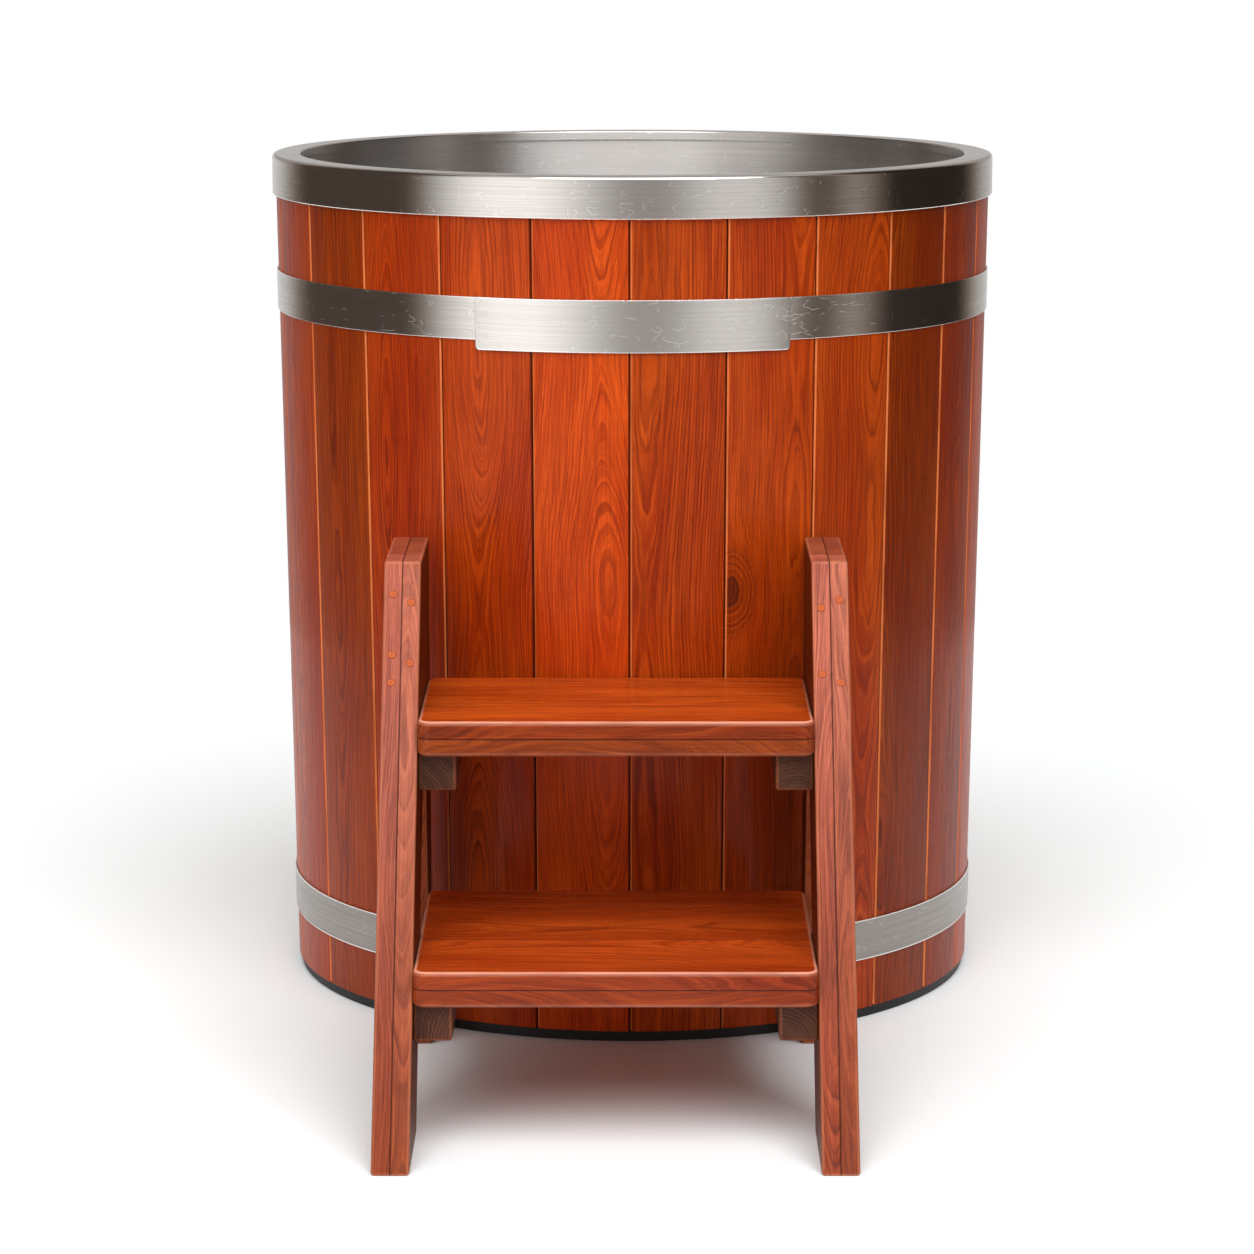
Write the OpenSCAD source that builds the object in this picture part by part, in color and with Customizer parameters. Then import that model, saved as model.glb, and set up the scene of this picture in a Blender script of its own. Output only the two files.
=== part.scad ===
// Coopered cold plunge tub with a steel liner, and its two-step stool.
// Origin: tub axis at floor level. -Y is the front, where the stool stands, and +Z is up.

/* [Tub] */
// Height of the tub, floor to the top of the rim
tub_h = 1090; // [900:1:1250]
// Outer diameter of the steel rim
rim_d = 950; // [800:1:1100]
// Height of the rim's outer skirt
skirt_h = 52; // [35:1:70]
// Sheet thickness of the rim
rim_sheet = 2; // [1.5:0.1:3]
// Height of the rim's inner lip
lip_h = 12; // [8:1:20]
// Radius of the rim's rounded outer edge
rim_edge_r = 5; // [3:0.5:8]
// Gap between the skirt and the staves
skirt_gap = 2; // [1:0.5:4]

/* [Staves] */
// Number of staves
stave_count = 25; // [20:1:25]
// Thickness of a stave
stave_t = 22; // [18:0.5:28]
// How much less the wooden wall's radius is at the foot than at the rim
wall_taper = 17; // [8:1:24]
// Swing of the joint angles that makes the staves differ in width, in degrees
stave_vary = 3.6; // [0:0.1:4]
// Turn of the first joint from the front of the tub, in degrees
stave_turn = -0.4; // [-7:0.1:7]
// Depth of the V groove along each joint
groove = 2; // [1:0.1:3]
// Radius of the bead that locks each stave into the cove of the next
bead_r = 4; // [2.5:0.5:6]

/* [Floor and liner] */
// Thickness of the black base plate
base_t = 14; // [10:1:20]
// How far the base plate stands back under the staves
base_recess = 4; // [2:1:10]
// Width of a floor joist
joist_w = 45; // [35:1:60]
// Distance between joists, centre to centre
joist_pitch = 130; // [100:5:160]
// Thickness of the floor board
board_t = 18; // [12:1:24]
// Thickness of the foam under the liner
floor_foam_t = 20; // [10:1:30]
// Thickness of the foam behind the liner wall
wall_foam_t = 7; // [5:0.5:12]
// Sheet thickness of the liner
liner_sheet = 1.5; // [1:0.1:2.5]
// Radius between the liner's floor and wall
liner_corner = 30; // [15:1:50]

/* [Hoops and plate] */
// Width of a hoop
hoop_w = 53; // [40:1:65]
// Thickness of a hoop
hoop_t = 2; // [1.5:0.1:3]
// Distance from the top of the rim down to the upper hoop
upper_hoop_drop = 150; // [80:1:220]
// Height of the lower hoop's lower edge
lower_hoop_z = 79; // [60:1:120]
// Opening between a hoop's two lugs
lug_gap = 22; // [14:1:30]
// Reach of a lug from the wall
lug_reach = 34; // [28:1:45]
// Thickness of a lug
lug_t = 5; // [4:0.5:7]
// Turn of the hoop joints from the drain, in degrees
lug_turn = 22; // [18:1:40]
// Diameter of the hoop bolts
hoop_bolt_d = 10; // [8:1:12]
// Width of the front plate, measured as an angle
plate_angle = 48.6; // [30:0.2:60]
// How far the front plate hangs below the upper hoop
plate_drop = 12; // [4:1:20]
// Thickness of the front plate
plate_t = 1.5; // [1:0.1:3]
// Corner radius of the front plate
plate_corner = 5; // [2:0.5:12]

/* [Drain] */
// Diameter of the drain flange in the liner floor
drain_flange_d = 90; // [80:1:110]
// Outer diameter of the drain's threaded tail
tail_d = 58; // [50:1:64]
// Wall of the drain's tail
tail_wall = 4; // [3:0.5:6]
// Outer diameter of the drain pipe
pipe_d = 33.7; // [30:0.1:36]
// Wall of the drain pipe
pipe_wall = 3.2; // [2:0.1:4]
// Distance from the staves to the middle of the valve
valve_reach = 72; // [68:1:110]
// Diameter of the valve's ball
ball_d = 36; // [32:1:40]
// Bore of the ball
ball_bore = 24; // [18:1:25]
// Length of the valve's barrel
barrel_l = 52; // [46:1:64]
// Diameter of the valve's stem
stem_d = 12; // [10:0.5:14]
// Length of the valve's lever
lever_l = 118; // [90:1:140]
// Outer diameter of the hose tail
hose_d = 25; // [20:0.5:30]
// Length of the hose tail's straight part
hose_l = 45; // [35:1:60]

/* [Steps] */
// Width of the stool over both side frames
step_w = 555; // [480:1:640]
// Height of the side frames
step_h = 640; // [600:1:700]
// How far the stool stands left of the tub's centre line
step_left = 20; // [0:1:30]
// Thickness of the legs and posts
timber_t = 44; // [36:1:50]
// Width of the boards that make the legs and posts
timber_w = 138; // [120:1:150]
// Depth of a rear post at its foot
post_foot = 46; // [40:1:80]
// Forward lean of the front legs, from top to foot
leg_run = 394; // [340:1:440]
// Depth of a front leg's top face
leg_top = 50; // [35:1:70]
// Height of the upper tread's top face
upper_tread_z = 472; // [450:1:500]
// Height of the lower tread's top face
lower_tread_z = 212; // [190:1:240]
// Thickness of the treads
tread_t = 42; // [34:1:50]
// How far a tread's front edge stands out from the legs
tread_nose = 35; // [28:1:45]
// Radius of the treads' corners, seen from above
tread_corner = 16; // [8:1:30]
// Gap between the upper tread and the staves
upper_tread_gap = 5; // [3:1:12]
// Gap between the lower tread and the staves
lower_tread_gap = 52; // [30:1:80]
// Gap between the posts and the staves
post_gap = 4; // [3:1:12]
// Side of the square bearers under the treads
bearer_s = 45; // [38:1:50]
// How far the bearers stand back from a tread's front edge
bearer_back = 20; // [10:1:30]
// How far the bearers end in front of the posts' rear faces
bearer_end = 20; // [12:1:40]
// Radius of the eased timber edges
ease_r = 4; // [2:0.5:8]
// Diameter of the wooden plugs
plug_d = 10; // [8:0.5:12]
// Diameter of the screws
screw_d = 6; // [4:0.5:6]

/* [Hidden] */
$fn = 96;
// Clearance between pieces that fit in or round one another
fit = 0.2;
// Clearance round parts that turn
run_fit = 0.35;
// Reach of a cutting shape past the face that it cuts
over = 5;

// Radii at the top of the staves, from the skirt inwards
rim_r = rim_d / 2;
stave_r = rim_r - rim_sheet - skirt_gap;
foam_back = stave_t + wall_foam_t;
liner_back = foam_back + liner_sheet;
lip_back = liner_back + fit + rim_sheet;
rim_in_r = stave_r - lip_back;

// The joists are just high enough for the drain pipe under the drain's locknut
locknut_h = 8;
pipe_room = 1.6;
joist_h = pipe_d + locknut_h + 2 * pipe_room;

// Heights, from the floor up
stave_top = tub_h - rim_sheet;
upper_hoop_z = tub_h - upper_hoop_drop - hoop_w;
board_z = base_t + joist_h;
foam_z = board_z + board_t;
liner_z = foam_z + floor_foam_t;
water_z = liner_z + liner_sheet;

// The wooden wall is a cone: its outer radius at height z, and its lean in degrees
function wall_r(z) = stave_r - wall_taper * (stave_top - z) / (stave_top - base_t);
lean = atan(wall_taper / (stave_top - base_t));

// Angle of joint i from the front, so that neighbouring staves differ a little in width
pitch = 360 / stave_count;
vary_phase = 60;
function joint_at(i) =
    i * pitch + stave_vary * (sin(i * pitch + vary_phase) - sin(vary_phase)) + stave_turn;

// The drain pipe leaves through the middle of the stave that is nearest to the back
drain_stave = floor(stave_count / 2);
drain_turn = (joint_at(drain_stave) + joint_at(drain_stave + 1)) / 2 - 180;

// Drain heights and places, in a frame whose +Y is the pipe's own direction
pipe_z = base_t + pipe_room + pipe_d / 2;
flange_t = 3;
locknut_grip = 13;
locknut_d = tail_d + 2 * locknut_grip;
elbow_wall = 4;
elbow_gap = 1;
elbow_d = tail_d + 2 * (fit + elbow_wall);
elbow_z = base_t + elbow_gap;
elbow_room = 6;
tail_z = elbow_z + elbow_wall + elbow_room;
gasket_t = 2;
grid_d = tail_d - tail_wall;
grid_hole = 5;
grid_edge = 2;
grid_pitch = (grid_d - 2 * grid_edge) / 6;
wall_y = wall_r(pipe_z);
valve_y = wall_y + valve_reach;
barrel_wall = 8;
barrel_d = ball_d + 2 * barrel_wall;
hex_wall = 8;
hex_d = pipe_d + 2 * hex_wall;
hex_l = 18;
hex_overlap = 1;
pipe_depth = 14;
valve_end = barrel_l / 2 + hex_l - hex_overlap;
pipe_end = valve_y - valve_end + pipe_depth;
boss_wall = 6;
boss_d = stem_d + 2 * boss_wall;
boss_rise = 8;
boss_h = barrel_d / 2 + boss_rise;
stem_pocket = 3;
shoulder_rise = 1.5;
shoulder_h = boss_h + shoulder_rise;
lever_t = 4;
lever_w = 22;
lever_rise = 14;
lever_flat = lever_w;
thread_step = 1;
thread_d = stem_d - 2 * thread_step;
thread_spare = 3;
nut_h = 8;
hose_wall = 2.5;
hose_collar_d = hex_d - hex_wall;
hose_collar_l = 10;

// First joist stands clear of the drain's locknut
joist_clear = 6;
first_joist = locknut_d / 2 + joist_clear + joist_w / 2;
floor_fit = 1;
floor_r = wall_r(base_t) - stave_t - floor_fit;
joist_rows = floor((floor_r - first_joist) / joist_pitch);

// Hoop bolts
lug_bolt_back = 19;
lug_sink = 0.6;
bolt_head_h = 7;
bolt_nut_h = 8;
bolt_spare = 8;
hoop_bolt_l = lug_gap + 2 * lug_t + bolt_nut_h + bolt_spare;

// Stool: inner faces, and the planes that the legs, posts and treads share
step_x = -step_left;
inner_w = step_w - 2 * timber_t;
near_x = inner_w / 2 - step_left;
post_back_y = -sqrt(pow(wall_r(step_h), 2) - pow(near_x, 2)) - post_gap;
post_front_y = post_back_y - timber_w;
foot_y = post_front_y - leg_top - leg_run;
leg_lean = atan(leg_run / step_h);
leg_foot = timber_w / cos(leg_lean);
// Height at which the leg's rear face meets the post. Below it the post tapers to its foot.
join_z = (post_front_y - foot_y - leg_foot) * step_h / leg_run;
function leg_front_y(z) = foot_y + leg_run * z / step_h;
function tread_front_y(z) = leg_front_y(z) - tread_nose;
upper_back_y = -wall_r(upper_tread_z) - upper_tread_gap;
lower_back_y = -wall_r(lower_tread_z) - lower_tread_gap;
bearer_back_y = post_back_y - bearer_end;

// Screws and plugs: each row is [-1 outer layer or 1 inner layer, depth below the frame's top]
left_plugs = [[-1, 36], [-1, 102], [-1, 132], [1, 45], [1, 111]];
right_plugs = [[-1, 42], [-1, 132], [1, 51], [1, 123]];
plug_l = 14;
screw_head_d = plug_d - 0.6;
screw_head_h = 4;
screw_grip = 32;
screw_bite = 60;
bearer_bite = 28;
tread_bite = 26;
head_sink = 4;
shank_fit = 0.2;
tread_screw = 44;

function stave_name(i) = str("stave_", i < 10 ? "0" : "", i);

wood_red = "#a03418";
wood_tread = "#b2502c";
wood_dark = "#4a2418";
wood_plain = "#b08a5c";
steel = "#c9c4c0";
brass = "#b8964a";
black = "#1b1917";

// A shell of the tapered wall, between two distances behind the staves' outer face
module wall_shell(back_out, back_in, z0, z1) {
    rotate_extrude()
        polygon([
            [wall_r(z0) - back_in, z0], [wall_r(z0) - back_out, z0],
            [wall_r(z1) - back_out, z1], [wall_r(z1) - back_in, z1]
        ]);
}

// Turns its children from +X to an angle counted from the front of the tub
module from_front(a) {
    rotate([0, 0, a - 90]) children();
}

// Puts its children along the drain pipe: +Y is outwards, and z = 0 is the pipe's axis
module along_drain() {
    rotate([0, 0, drain_turn]) translate([0, 0, pipe_z]) children();
}

// A bar of square section with one round in each corner, standing on z = 0
module eased_bar(w, d, h, r) {
    linear_extrude(height = h) union() {
        translate([-w / 2 + r, -d / 2]) square([w - 2 * r, d]);
        translate([-w / 2, -d / 2 + r]) square([w, d - 2 * r]);
        for (sx = [-1, 1], sy = [-1, 1])
            translate([sx * (w / 2 - r), sy * (d / 2 - r)]) circle(r);
    }
}

module base_plate() {
    color(black) cylinder(r = wall_r(base_t) - base_recess, h = base_t, $fn = 180);
}

// Joists run both sides of the drain pipe, cut to the round of the wall
module floor_joists() {
    color(wood_plain) rotate([0, 0, drain_turn]) intersection() {
        for (side = [-1, 1], row = [0:joist_rows])
            translate([side * (first_joist + row * joist_pitch) - joist_w / 2, -rim_r, base_t])
                cube([joist_w, 2 * rim_r, joist_h]);
        translate([0, 0, base_t - over]) cylinder(r = floor_r, h = joist_h + 2 * over);
    }
}

module floor_board() {
    color(wood_plain) difference() {
        translate([0, 0, board_z]) cylinder(r = floor_r, h = board_t);
        translate([0, 0, board_z - over]) cylinder(d = tail_d + 2 * fit, h = board_t + 2 * over);
    }
}

module floor_insulation() {
    color("white") difference() {
        translate([0, 0, foam_z]) cylinder(r = wall_r(foam_z) - foam_back - fit, h = floor_foam_t);
        translate([0, 0, foam_z - over]) cylinder(d = tail_d + 2 * fit, h = floor_foam_t + 2 * over);
    }
}

module wall_insulation() {
    color("white") wall_shell(stave_t + fit, foam_back - fit, foam_z, stave_top);
}

// Floor sheet, wall sheet and the round between them, drawn as one profile
module liner() {
    steps = 8;
    wall_x = wall_r(liner_z) - foam_back;
    function corner(r) = [
        for (k = [0:steps]) let (a = -90 + (90 - lean) * k / steps)
            [wall_x - liner_corner + r * cos(a), liner_z + liner_corner + r * sin(a)]
    ];
    outer = corner(liner_corner);
    inner = corner(liner_corner - liner_sheet);
    top_out = [wall_r(stave_top) - foam_back, stave_top];
    top_in = [wall_r(stave_top) - liner_back, stave_top];
    drain_r = tail_d / 2 + fit;
    color(steel) rotate_extrude($fn = 180)
        polygon(concat(
            [[drain_r, liner_z]], outer, [top_out, top_in],
            [for (k = [steps:-1:0]) inner[k]], [[drain_r, water_z]]
        ));
}

// Flange, outer skirt and inner lip, with a rounded outer edge
module rim_ring() {
    flange_in = rim_in_r;
    color(steel) rotate_extrude($fn = 180) union() {
        translate([flange_in, stave_top]) square([rim_r - rim_edge_r - flange_in, rim_sheet]);
        translate([rim_r - rim_sheet, tub_h - skirt_h]) square([rim_sheet, skirt_h - rim_edge_r]);
        translate([flange_in, stave_top - lip_h]) square([rim_sheet, lip_h]);
        intersection() {
            translate([rim_r - rim_edge_r, tub_h - rim_edge_r]) difference() {
                circle(rim_edge_r);
                circle(rim_edge_r - rim_sheet);
            }
            translate([rim_r - rim_edge_r, tub_h - rim_edge_r]) square(rim_edge_r);
        }
    }
}

// One stave: a slice of the wall with a bead on one edge, a cove on the other and eased
// outer corners, so that two neighbours show a V groove
module stave(i) {
    a0 = joint_at(i - 1);
    a1 = joint_at(i);
    long = stave_top - base_t;
    module joint_line(a) {
        from_front(a) translate([wall_r(base_t), 0, base_t]) rotate([0, lean, 0]) children();
    }
    color(wood_red) difference() {
        union() {
            from_front(a0) rotate_extrude(angle = a1 - a0, $fn = 180)
                polygon([
                    [wall_r(base_t) - stave_t, base_t], [wall_r(base_t), base_t],
                    [wall_r(stave_top), stave_top], [wall_r(stave_top) - stave_t, stave_top]
                ]);
            joint_line(a1) translate([-stave_t / 2, 0, 1]) cylinder(r = bead_r, h = long - 2);
        }
        joint_line(a0) translate([-stave_t / 2, 0, -over]) cylinder(r = bead_r + fit, h = long + 2 * over);
        for (a = [a0, a1])
            joint_line(a) rotate([0, 0, 45])
                translate([-groove / sqrt(2), -groove / sqrt(2), -over])
                    cube([groove * sqrt(2), groove * sqrt(2), long + 2 * over]);
        if (i == drain_stave + 1)
            along_drain() translate([0, wall_y - 2 * stave_t, 0]) rotate([-90, 0, 0])
                cylinder(d = pipe_d + 4 * fit, h = 4 * stave_t);
    }
}

// A flat band round the staves that ends in two lugs at the back
module hoop(z0) {
    z1 = z0 + hoop_w;
    joint = 180 + drain_turn + lug_turn;
    bolt_r = wall_r(z1) + hoop_t + lug_bolt_back;
    half_gap = asin(lug_gap / 2 / wall_r(z0));
    lug_edge = 6;
    color(steel) difference() {
        union() {
            from_front(joint + half_gap) rotate_extrude(angle = 360 - 2 * half_gap, $fn = 180)
                polygon([
                    [wall_r(z0) + fit, z0], [wall_r(z0) + fit + hoop_t, z0],
                    [wall_r(z1) + fit + hoop_t, z1], [wall_r(z1) + fit, z1]
                ]);
            for (side = [-1, 1])
                from_front(joint)
                    translate([wall_r(z1) + fit + lug_sink, side * (lug_gap + lug_t) / 2, z0 + lug_edge])
                        translate([0, -lug_t / 2, 0])
                            cube([lug_reach, lug_t, hoop_w - 2 * lug_edge]);
        }
        from_front(joint) translate([bolt_r, 0, z0 + hoop_w / 2]) rotate([90, 0, 0])
            cylinder(d = hoop_bolt_d + 2 * fit, h = 2 * lug_gap + 4 * lug_t, center = true);
    }
}

module upper_hoop() {
    hoop(upper_hoop_z);
}

module lower_hoop() {
    hoop(lower_hoop_z);
}

// Puts its children at a hoop bolt: +X is away from the tub, and +Z runs along the bolt
module at_hoop_bolt(z0) {
    joint = 180 + drain_turn + lug_turn;
    from_front(joint) translate([wall_r(z0 + hoop_w) + hoop_t + lug_bolt_back, 0, z0 + hoop_w / 2])
        rotate([90, 0, 0]) children();
}

module hoop_bolts() {
    face = lug_gap / 2 + lug_t;
    color(steel) for (z0 = [lower_hoop_z, upper_hoop_z]) at_hoop_bolt(z0) {
        translate([0, 0, face]) cylinder(d = 1.9 * hoop_bolt_d, h = bolt_head_h, $fn = 6);
        translate([0, 0, face - hoop_bolt_l]) cylinder(d = hoop_bolt_d, h = hoop_bolt_l);
    }
}

module hoop_nuts() {
    face = lug_gap / 2 + lug_t;
    color(steel) for (z0 = [lower_hoop_z, upper_hoop_z]) at_hoop_bolt(z0)
        translate([0, 0, -face - bolt_nut_h]) difference() {
            cylinder(d = 1.9 * hoop_bolt_d, h = bolt_nut_h, $fn = 6);
            translate([0, 0, -over]) cylinder(d = hoop_bolt_d + 2 * fit, h = bolt_nut_h + 2 * over);
        }
}

// A bare curved plate over the front of the upper hoop, with rounded corners
module name_plate() {
    z0 = upper_hoop_z - plate_drop;
    z1 = upper_hoop_z + hoop_w;
    back = 2 * fit + hoop_t;
    module corner_cut() {
        translate([-over - hoop_t, 0, 0]) rotate([90, 0, 90]) linear_extrude(height = 4 * over) difference() {
            translate([-1, -1]) square(plate_corner + 1);
            translate([plate_corner, plate_corner]) circle(plate_corner);
        }
    }
    color(steel) difference() {
        from_front(-plate_angle / 2) rotate_extrude(angle = plate_angle, $fn = 180)
            polygon([
                [wall_r(z0) + back, z0], [wall_r(z0) + back + plate_t, z0],
                [wall_r(z1) + back + plate_t, z1], [wall_r(z1) + back, z1]
            ]);
        for (side = [0, 1], end = [0, 1])
            mirror([side, 0, 0]) from_front(-plate_angle / 2)
                translate([wall_r(z0), 0, end == 0 ? z0 : z1]) mirror([0, 0, end]) corner_cut();
    }
}

// Flange on the liner floor, with the threaded tail that goes down through the floor
module drain_flange() {
    color(steel) difference() {
        union() {
            translate([0, 0, water_z]) cylinder(d = drain_flange_d, h = flange_t);
            translate([0, 0, tail_z]) cylinder(d = tail_d, h = water_z - tail_z + 1);
        }
        translate([0, 0, tail_z - over]) cylinder(d = tail_d - 2 * tail_wall, h = water_z);
        translate([0, 0, water_z]) cylinder(d = grid_d + 2 * fit, h = flange_t + over);
    }
}

// Perforated disc that drops into the flange
module drain_strainer() {
    color(steel) difference() {
        translate([0, 0, water_z]) cylinder(d = grid_d, h = flange_t);
        for (x = [-2:2], y = [-2:2])
            if (norm([x, y]) <= 2.3)
                translate([x * grid_pitch, y * grid_pitch, water_z - over])
                    cylinder(d = grid_hole, h = flange_t + 2 * over, $fn = 24);
    }
}

module drain_locknut() {
    color(black) translate([0, 0, board_z - locknut_h]) difference() {
        cylinder(d = locknut_d, h = locknut_h, $fn = 8);
        translate([0, 0, -over]) cylinder(d = tail_d + 2 * fit, h = locknut_h + 2 * over);
    }
}

// Seal between the elbow's socket and the drain's tail
module drain_gasket() {
    color(black) translate([0, 0, tail_z - gasket_t]) difference() {
        cylinder(d = tail_d, h = gasket_t);
        translate([0, 0, -over]) cylinder(d = tail_d - 2 * tail_wall, h = gasket_t + 2 * over);
    }
}

// Elbow with an upright socket, and the pipe that runs out through the back
module drain_pipe() {
    socket_top = board_z - locknut_h - elbow_gap;
    seat_z = tail_z - gasket_t;
    color(black) difference() {
        union() {
            rotate([0, 0, drain_turn]) translate([0, 0, elbow_z])
                cylinder(d = elbow_d, h = socket_top - elbow_z);
            along_drain() rotate([-90, 0, 0]) cylinder(d = pipe_d, h = pipe_end);
        }
        translate([0, 0, seat_z]) cylinder(d = tail_d + 2 * fit, h = board_z);
        translate([0, 0, elbow_z + elbow_wall]) cylinder(d = tail_d - 2 * tail_wall, h = board_z);
        along_drain() rotate([-90, 0, 0]) cylinder(d = pipe_d - 2 * pipe_wall, h = pipe_end + over);
    }
}

// Barrel with a six-sided socket at each end and a boss for the stem
module valve_body() {
    color(brass) along_drain() translate([0, valve_y, 0]) difference() {
        union() {
            rotate([90, 0, 0]) cylinder(d = barrel_d, h = barrel_l, center = true);
            rotate([90, 0, 0]) cylinder(d = hex_d, h = 2 * valve_end, center = true, $fn = 6);
            cylinder(d = boss_d, h = boss_h);
        }
        for (end = [0, 180]) rotate([0, 0, end]) translate([0, valve_end - pipe_depth - 1, 0])
            rotate([-90, 0, 0]) cylinder(d = pipe_d + 2 * fit, h = pipe_depth + over);
        rotate([90, 0, 0]) cylinder(d = ball_bore, h = 2 * valve_end, center = true);
        sphere(d = ball_d + 2 * run_fit);
        cylinder(d = stem_d + 2 * run_fit, h = boss_h + over);
    }
}

// The ball at rest is shut: its bore lies across the pipe
module valve_ball() {
    color(steel) along_drain() translate([0, valve_y, 0]) difference() {
        sphere(d = ball_d);
        rotate([0, 90, 0]) cylinder(d = ball_bore, h = ball_d + over, center = true);
        translate([0, 0, ball_d / 2 - stem_pocket]) cylinder(d = stem_d + 2 * fit, h = ball_d);
    }
}

// Stem from the ball to the lever, with a shoulder under the lever
module valve_stem() {
    foot = ball_d / 2 - stem_pocket;
    color(brass) along_drain() translate([0, valve_y, 0]) {
        translate([0, 0, foot]) cylinder(d = stem_d, h = shoulder_h - foot);
        translate([0, 0, shoulder_h - 1]) cylinder(d = thread_d, h = lever_t + nut_h + thread_spare);
    }
}

// Cranked flat bar with a rounded end. It lies across the pipe while the valve is shut.
module valve_lever() {
    slope = lever_rise;
    color("firebrick") along_drain() translate([0, valve_y, shoulder_h]) intersection() {
        translate([0, lever_w / 2, 0]) rotate([90, 0, 0]) linear_extrude(height = lever_w)
            polygon([
                [-lever_w / 2, 0], [lever_flat, 0], [lever_flat + slope, lever_rise],
                [lever_l, lever_rise], [lever_l, lever_rise + lever_t],
                [lever_flat + slope - lever_t / 2, lever_rise + lever_t],
                [lever_flat - lever_t / 2, lever_t], [-lever_w / 2, lever_t]
            ]);
        difference() {
            translate([0, 0, -over]) linear_extrude(height = lever_rise + lever_t + 2 * over) union() {
                circle(d = lever_w);
                translate([lever_l - lever_w / 2, 0]) circle(d = lever_w);
                translate([0, -lever_w / 2]) square([lever_l - lever_w / 2, lever_w]);
            }
            translate([0, 0, -2 * over]) cylinder(d = thread_d + 2 * fit, h = lever_t + 4 * over);
        }
    }
}

module lever_nut() {
    color(steel) along_drain() translate([0, valve_y, shoulder_h + lever_t]) difference() {
        cylinder(d = 1.9 * thread_d, h = nut_h, $fn = 6);
        translate([0, 0, -over]) cylinder(d = thread_d + 2 * fit, h = nut_h + 2 * over);
    }
}

// Spigot screwed into the valve's outlet: a hose slides over its straight end
module hose_tail() {
    start = valve_y + valve_end - pipe_depth;
    collar = valve_y + valve_end;
    color(brass) along_drain() difference() {
        union() {
            translate([0, start, 0]) rotate([-90, 0, 0]) cylinder(d = pipe_d, h = pipe_depth + 1);
            translate([0, collar, 0]) rotate([-90, 0, 0])
                cylinder(d = hose_collar_d, h = hose_collar_l, $fn = 6);
            translate([0, collar, 0]) rotate([-90, 0, 0])
                cylinder(d = hose_d, h = hose_collar_l + hose_l);
        }
        translate([0, start - over, 0]) rotate([-90, 0, 0])
            cylinder(d = hose_d - 2 * hose_wall, h = pipe_depth + hose_collar_l + hose_l + 2 * over);
    }
}

// x of a side frame's middle: side -1 is left and 1 is right
function frame_x(side) = step_x + side * (step_w - timber_t) / 2;
// x of a plug: in the middle of a side frame's outer or inner layer
function plug_x(side, layer) = frame_x(side) - side * layer * timber_t / 4;
function plugs_of(side) = side < 0 ? left_plugs : right_plugs;

// Places its children at each plug of a side, on the sloping face, pointing back along +Y
module at_plugs(side) {
    for (p = plugs_of(side))
        translate([plug_x(side, p[0]), leg_front_y(step_h - p[1]), step_h - p[1]])
            rotate([-90, 0, 0]) children();
}

// Sloping board, cut level at the floor and the top, and upright where it meets the post
module leg(side) {
    color(wood_red) difference() {
        intersection() {
            translate([frame_x(side), foot_y, 0]) rotate([-leg_lean, 0, 0])
                translate([0, timber_w / 2, -timber_w])
                    eased_bar(timber_t, timber_w, 2 * step_h, ease_r);
            translate([frame_x(side) - timber_t, foot_y - over, 0])
                cube([2 * timber_t, post_front_y - foot_y + over, step_h]);
        }
        at_plugs(side) translate([0, 0, -plug_d]) cylinder(d = plug_d, h = plug_d + plug_l);
        for (p = plugs_of(side)) {
            z = step_h - p[1];
            head_y = post_front_y - screw_grip;
            translate([plug_x(side, p[0]), 0, z]) rotate([-90, 0, 0]) {
                translate([0, 0, leg_front_y(z)])
                    cylinder(d = screw_head_d + shank_fit, h = head_y - leg_front_y(z));
                translate([0, 0, head_y - 1])
                    cylinder(d = screw_d + shank_fit, h = screw_grip + over);
            }
        }
        side_screw_bores(side, true);
    }
}

// Upright board behind the leg, which tapers below the place where the two meet
module post(side) {
    color(wood_red) difference() {
        intersection() {
            translate([frame_x(side), (post_front_y + post_back_y) / 2, 0])
                eased_bar(timber_t, timber_w, step_h, ease_r);
            translate([frame_x(side) - timber_t, 0, 0]) rotate([90, 0, 90])
                linear_extrude(height = 2 * timber_t) polygon([
                    [post_back_y + over, -over], [post_back_y + over, step_h + over],
                    [post_front_y - over, step_h + over], [post_front_y - over, join_z],
                    [post_front_y, join_z], [post_back_y - post_foot, 0], [post_back_y - post_foot, -over]
                ]);
        }
        for (p = plugs_of(side))
            translate([plug_x(side, p[0]), post_front_y - over, step_h - p[1]]) rotate([-90, 0, 0])
                cylinder(d = screw_d + shank_fit, h = screw_bite + over + 1);
        side_screw_bores(side, false);
    }
}

// The screws that go through the bearers into the middle of the leg and of the post
function bearer_z(top_z) = top_z - tread_t - bearer_s / 2;
function leg_screw_y(top_z) = leg_front_y(bearer_z(top_z)) + leg_foot / 2;
function post_screw_y(top_z) =
    post_back_y - (post_foot + (timber_w - post_foot) * min(1, bearer_z(top_z) / join_z)) / 2;

module side_screw_bores(side, in_leg) {
    inner_x = frame_x(side) - side * timber_t / 2;
    for (top_z = [lower_tread_z, upper_tread_z]) {
        y = in_leg ? leg_screw_y(top_z) : post_screw_y(top_z);
        translate([inner_x - side * over, y, bearer_z(top_z)]) rotate([0, side * 90, 0])
            cylinder(d = screw_d + shank_fit, h = bearer_bite + over + 1);
    }
}

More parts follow.
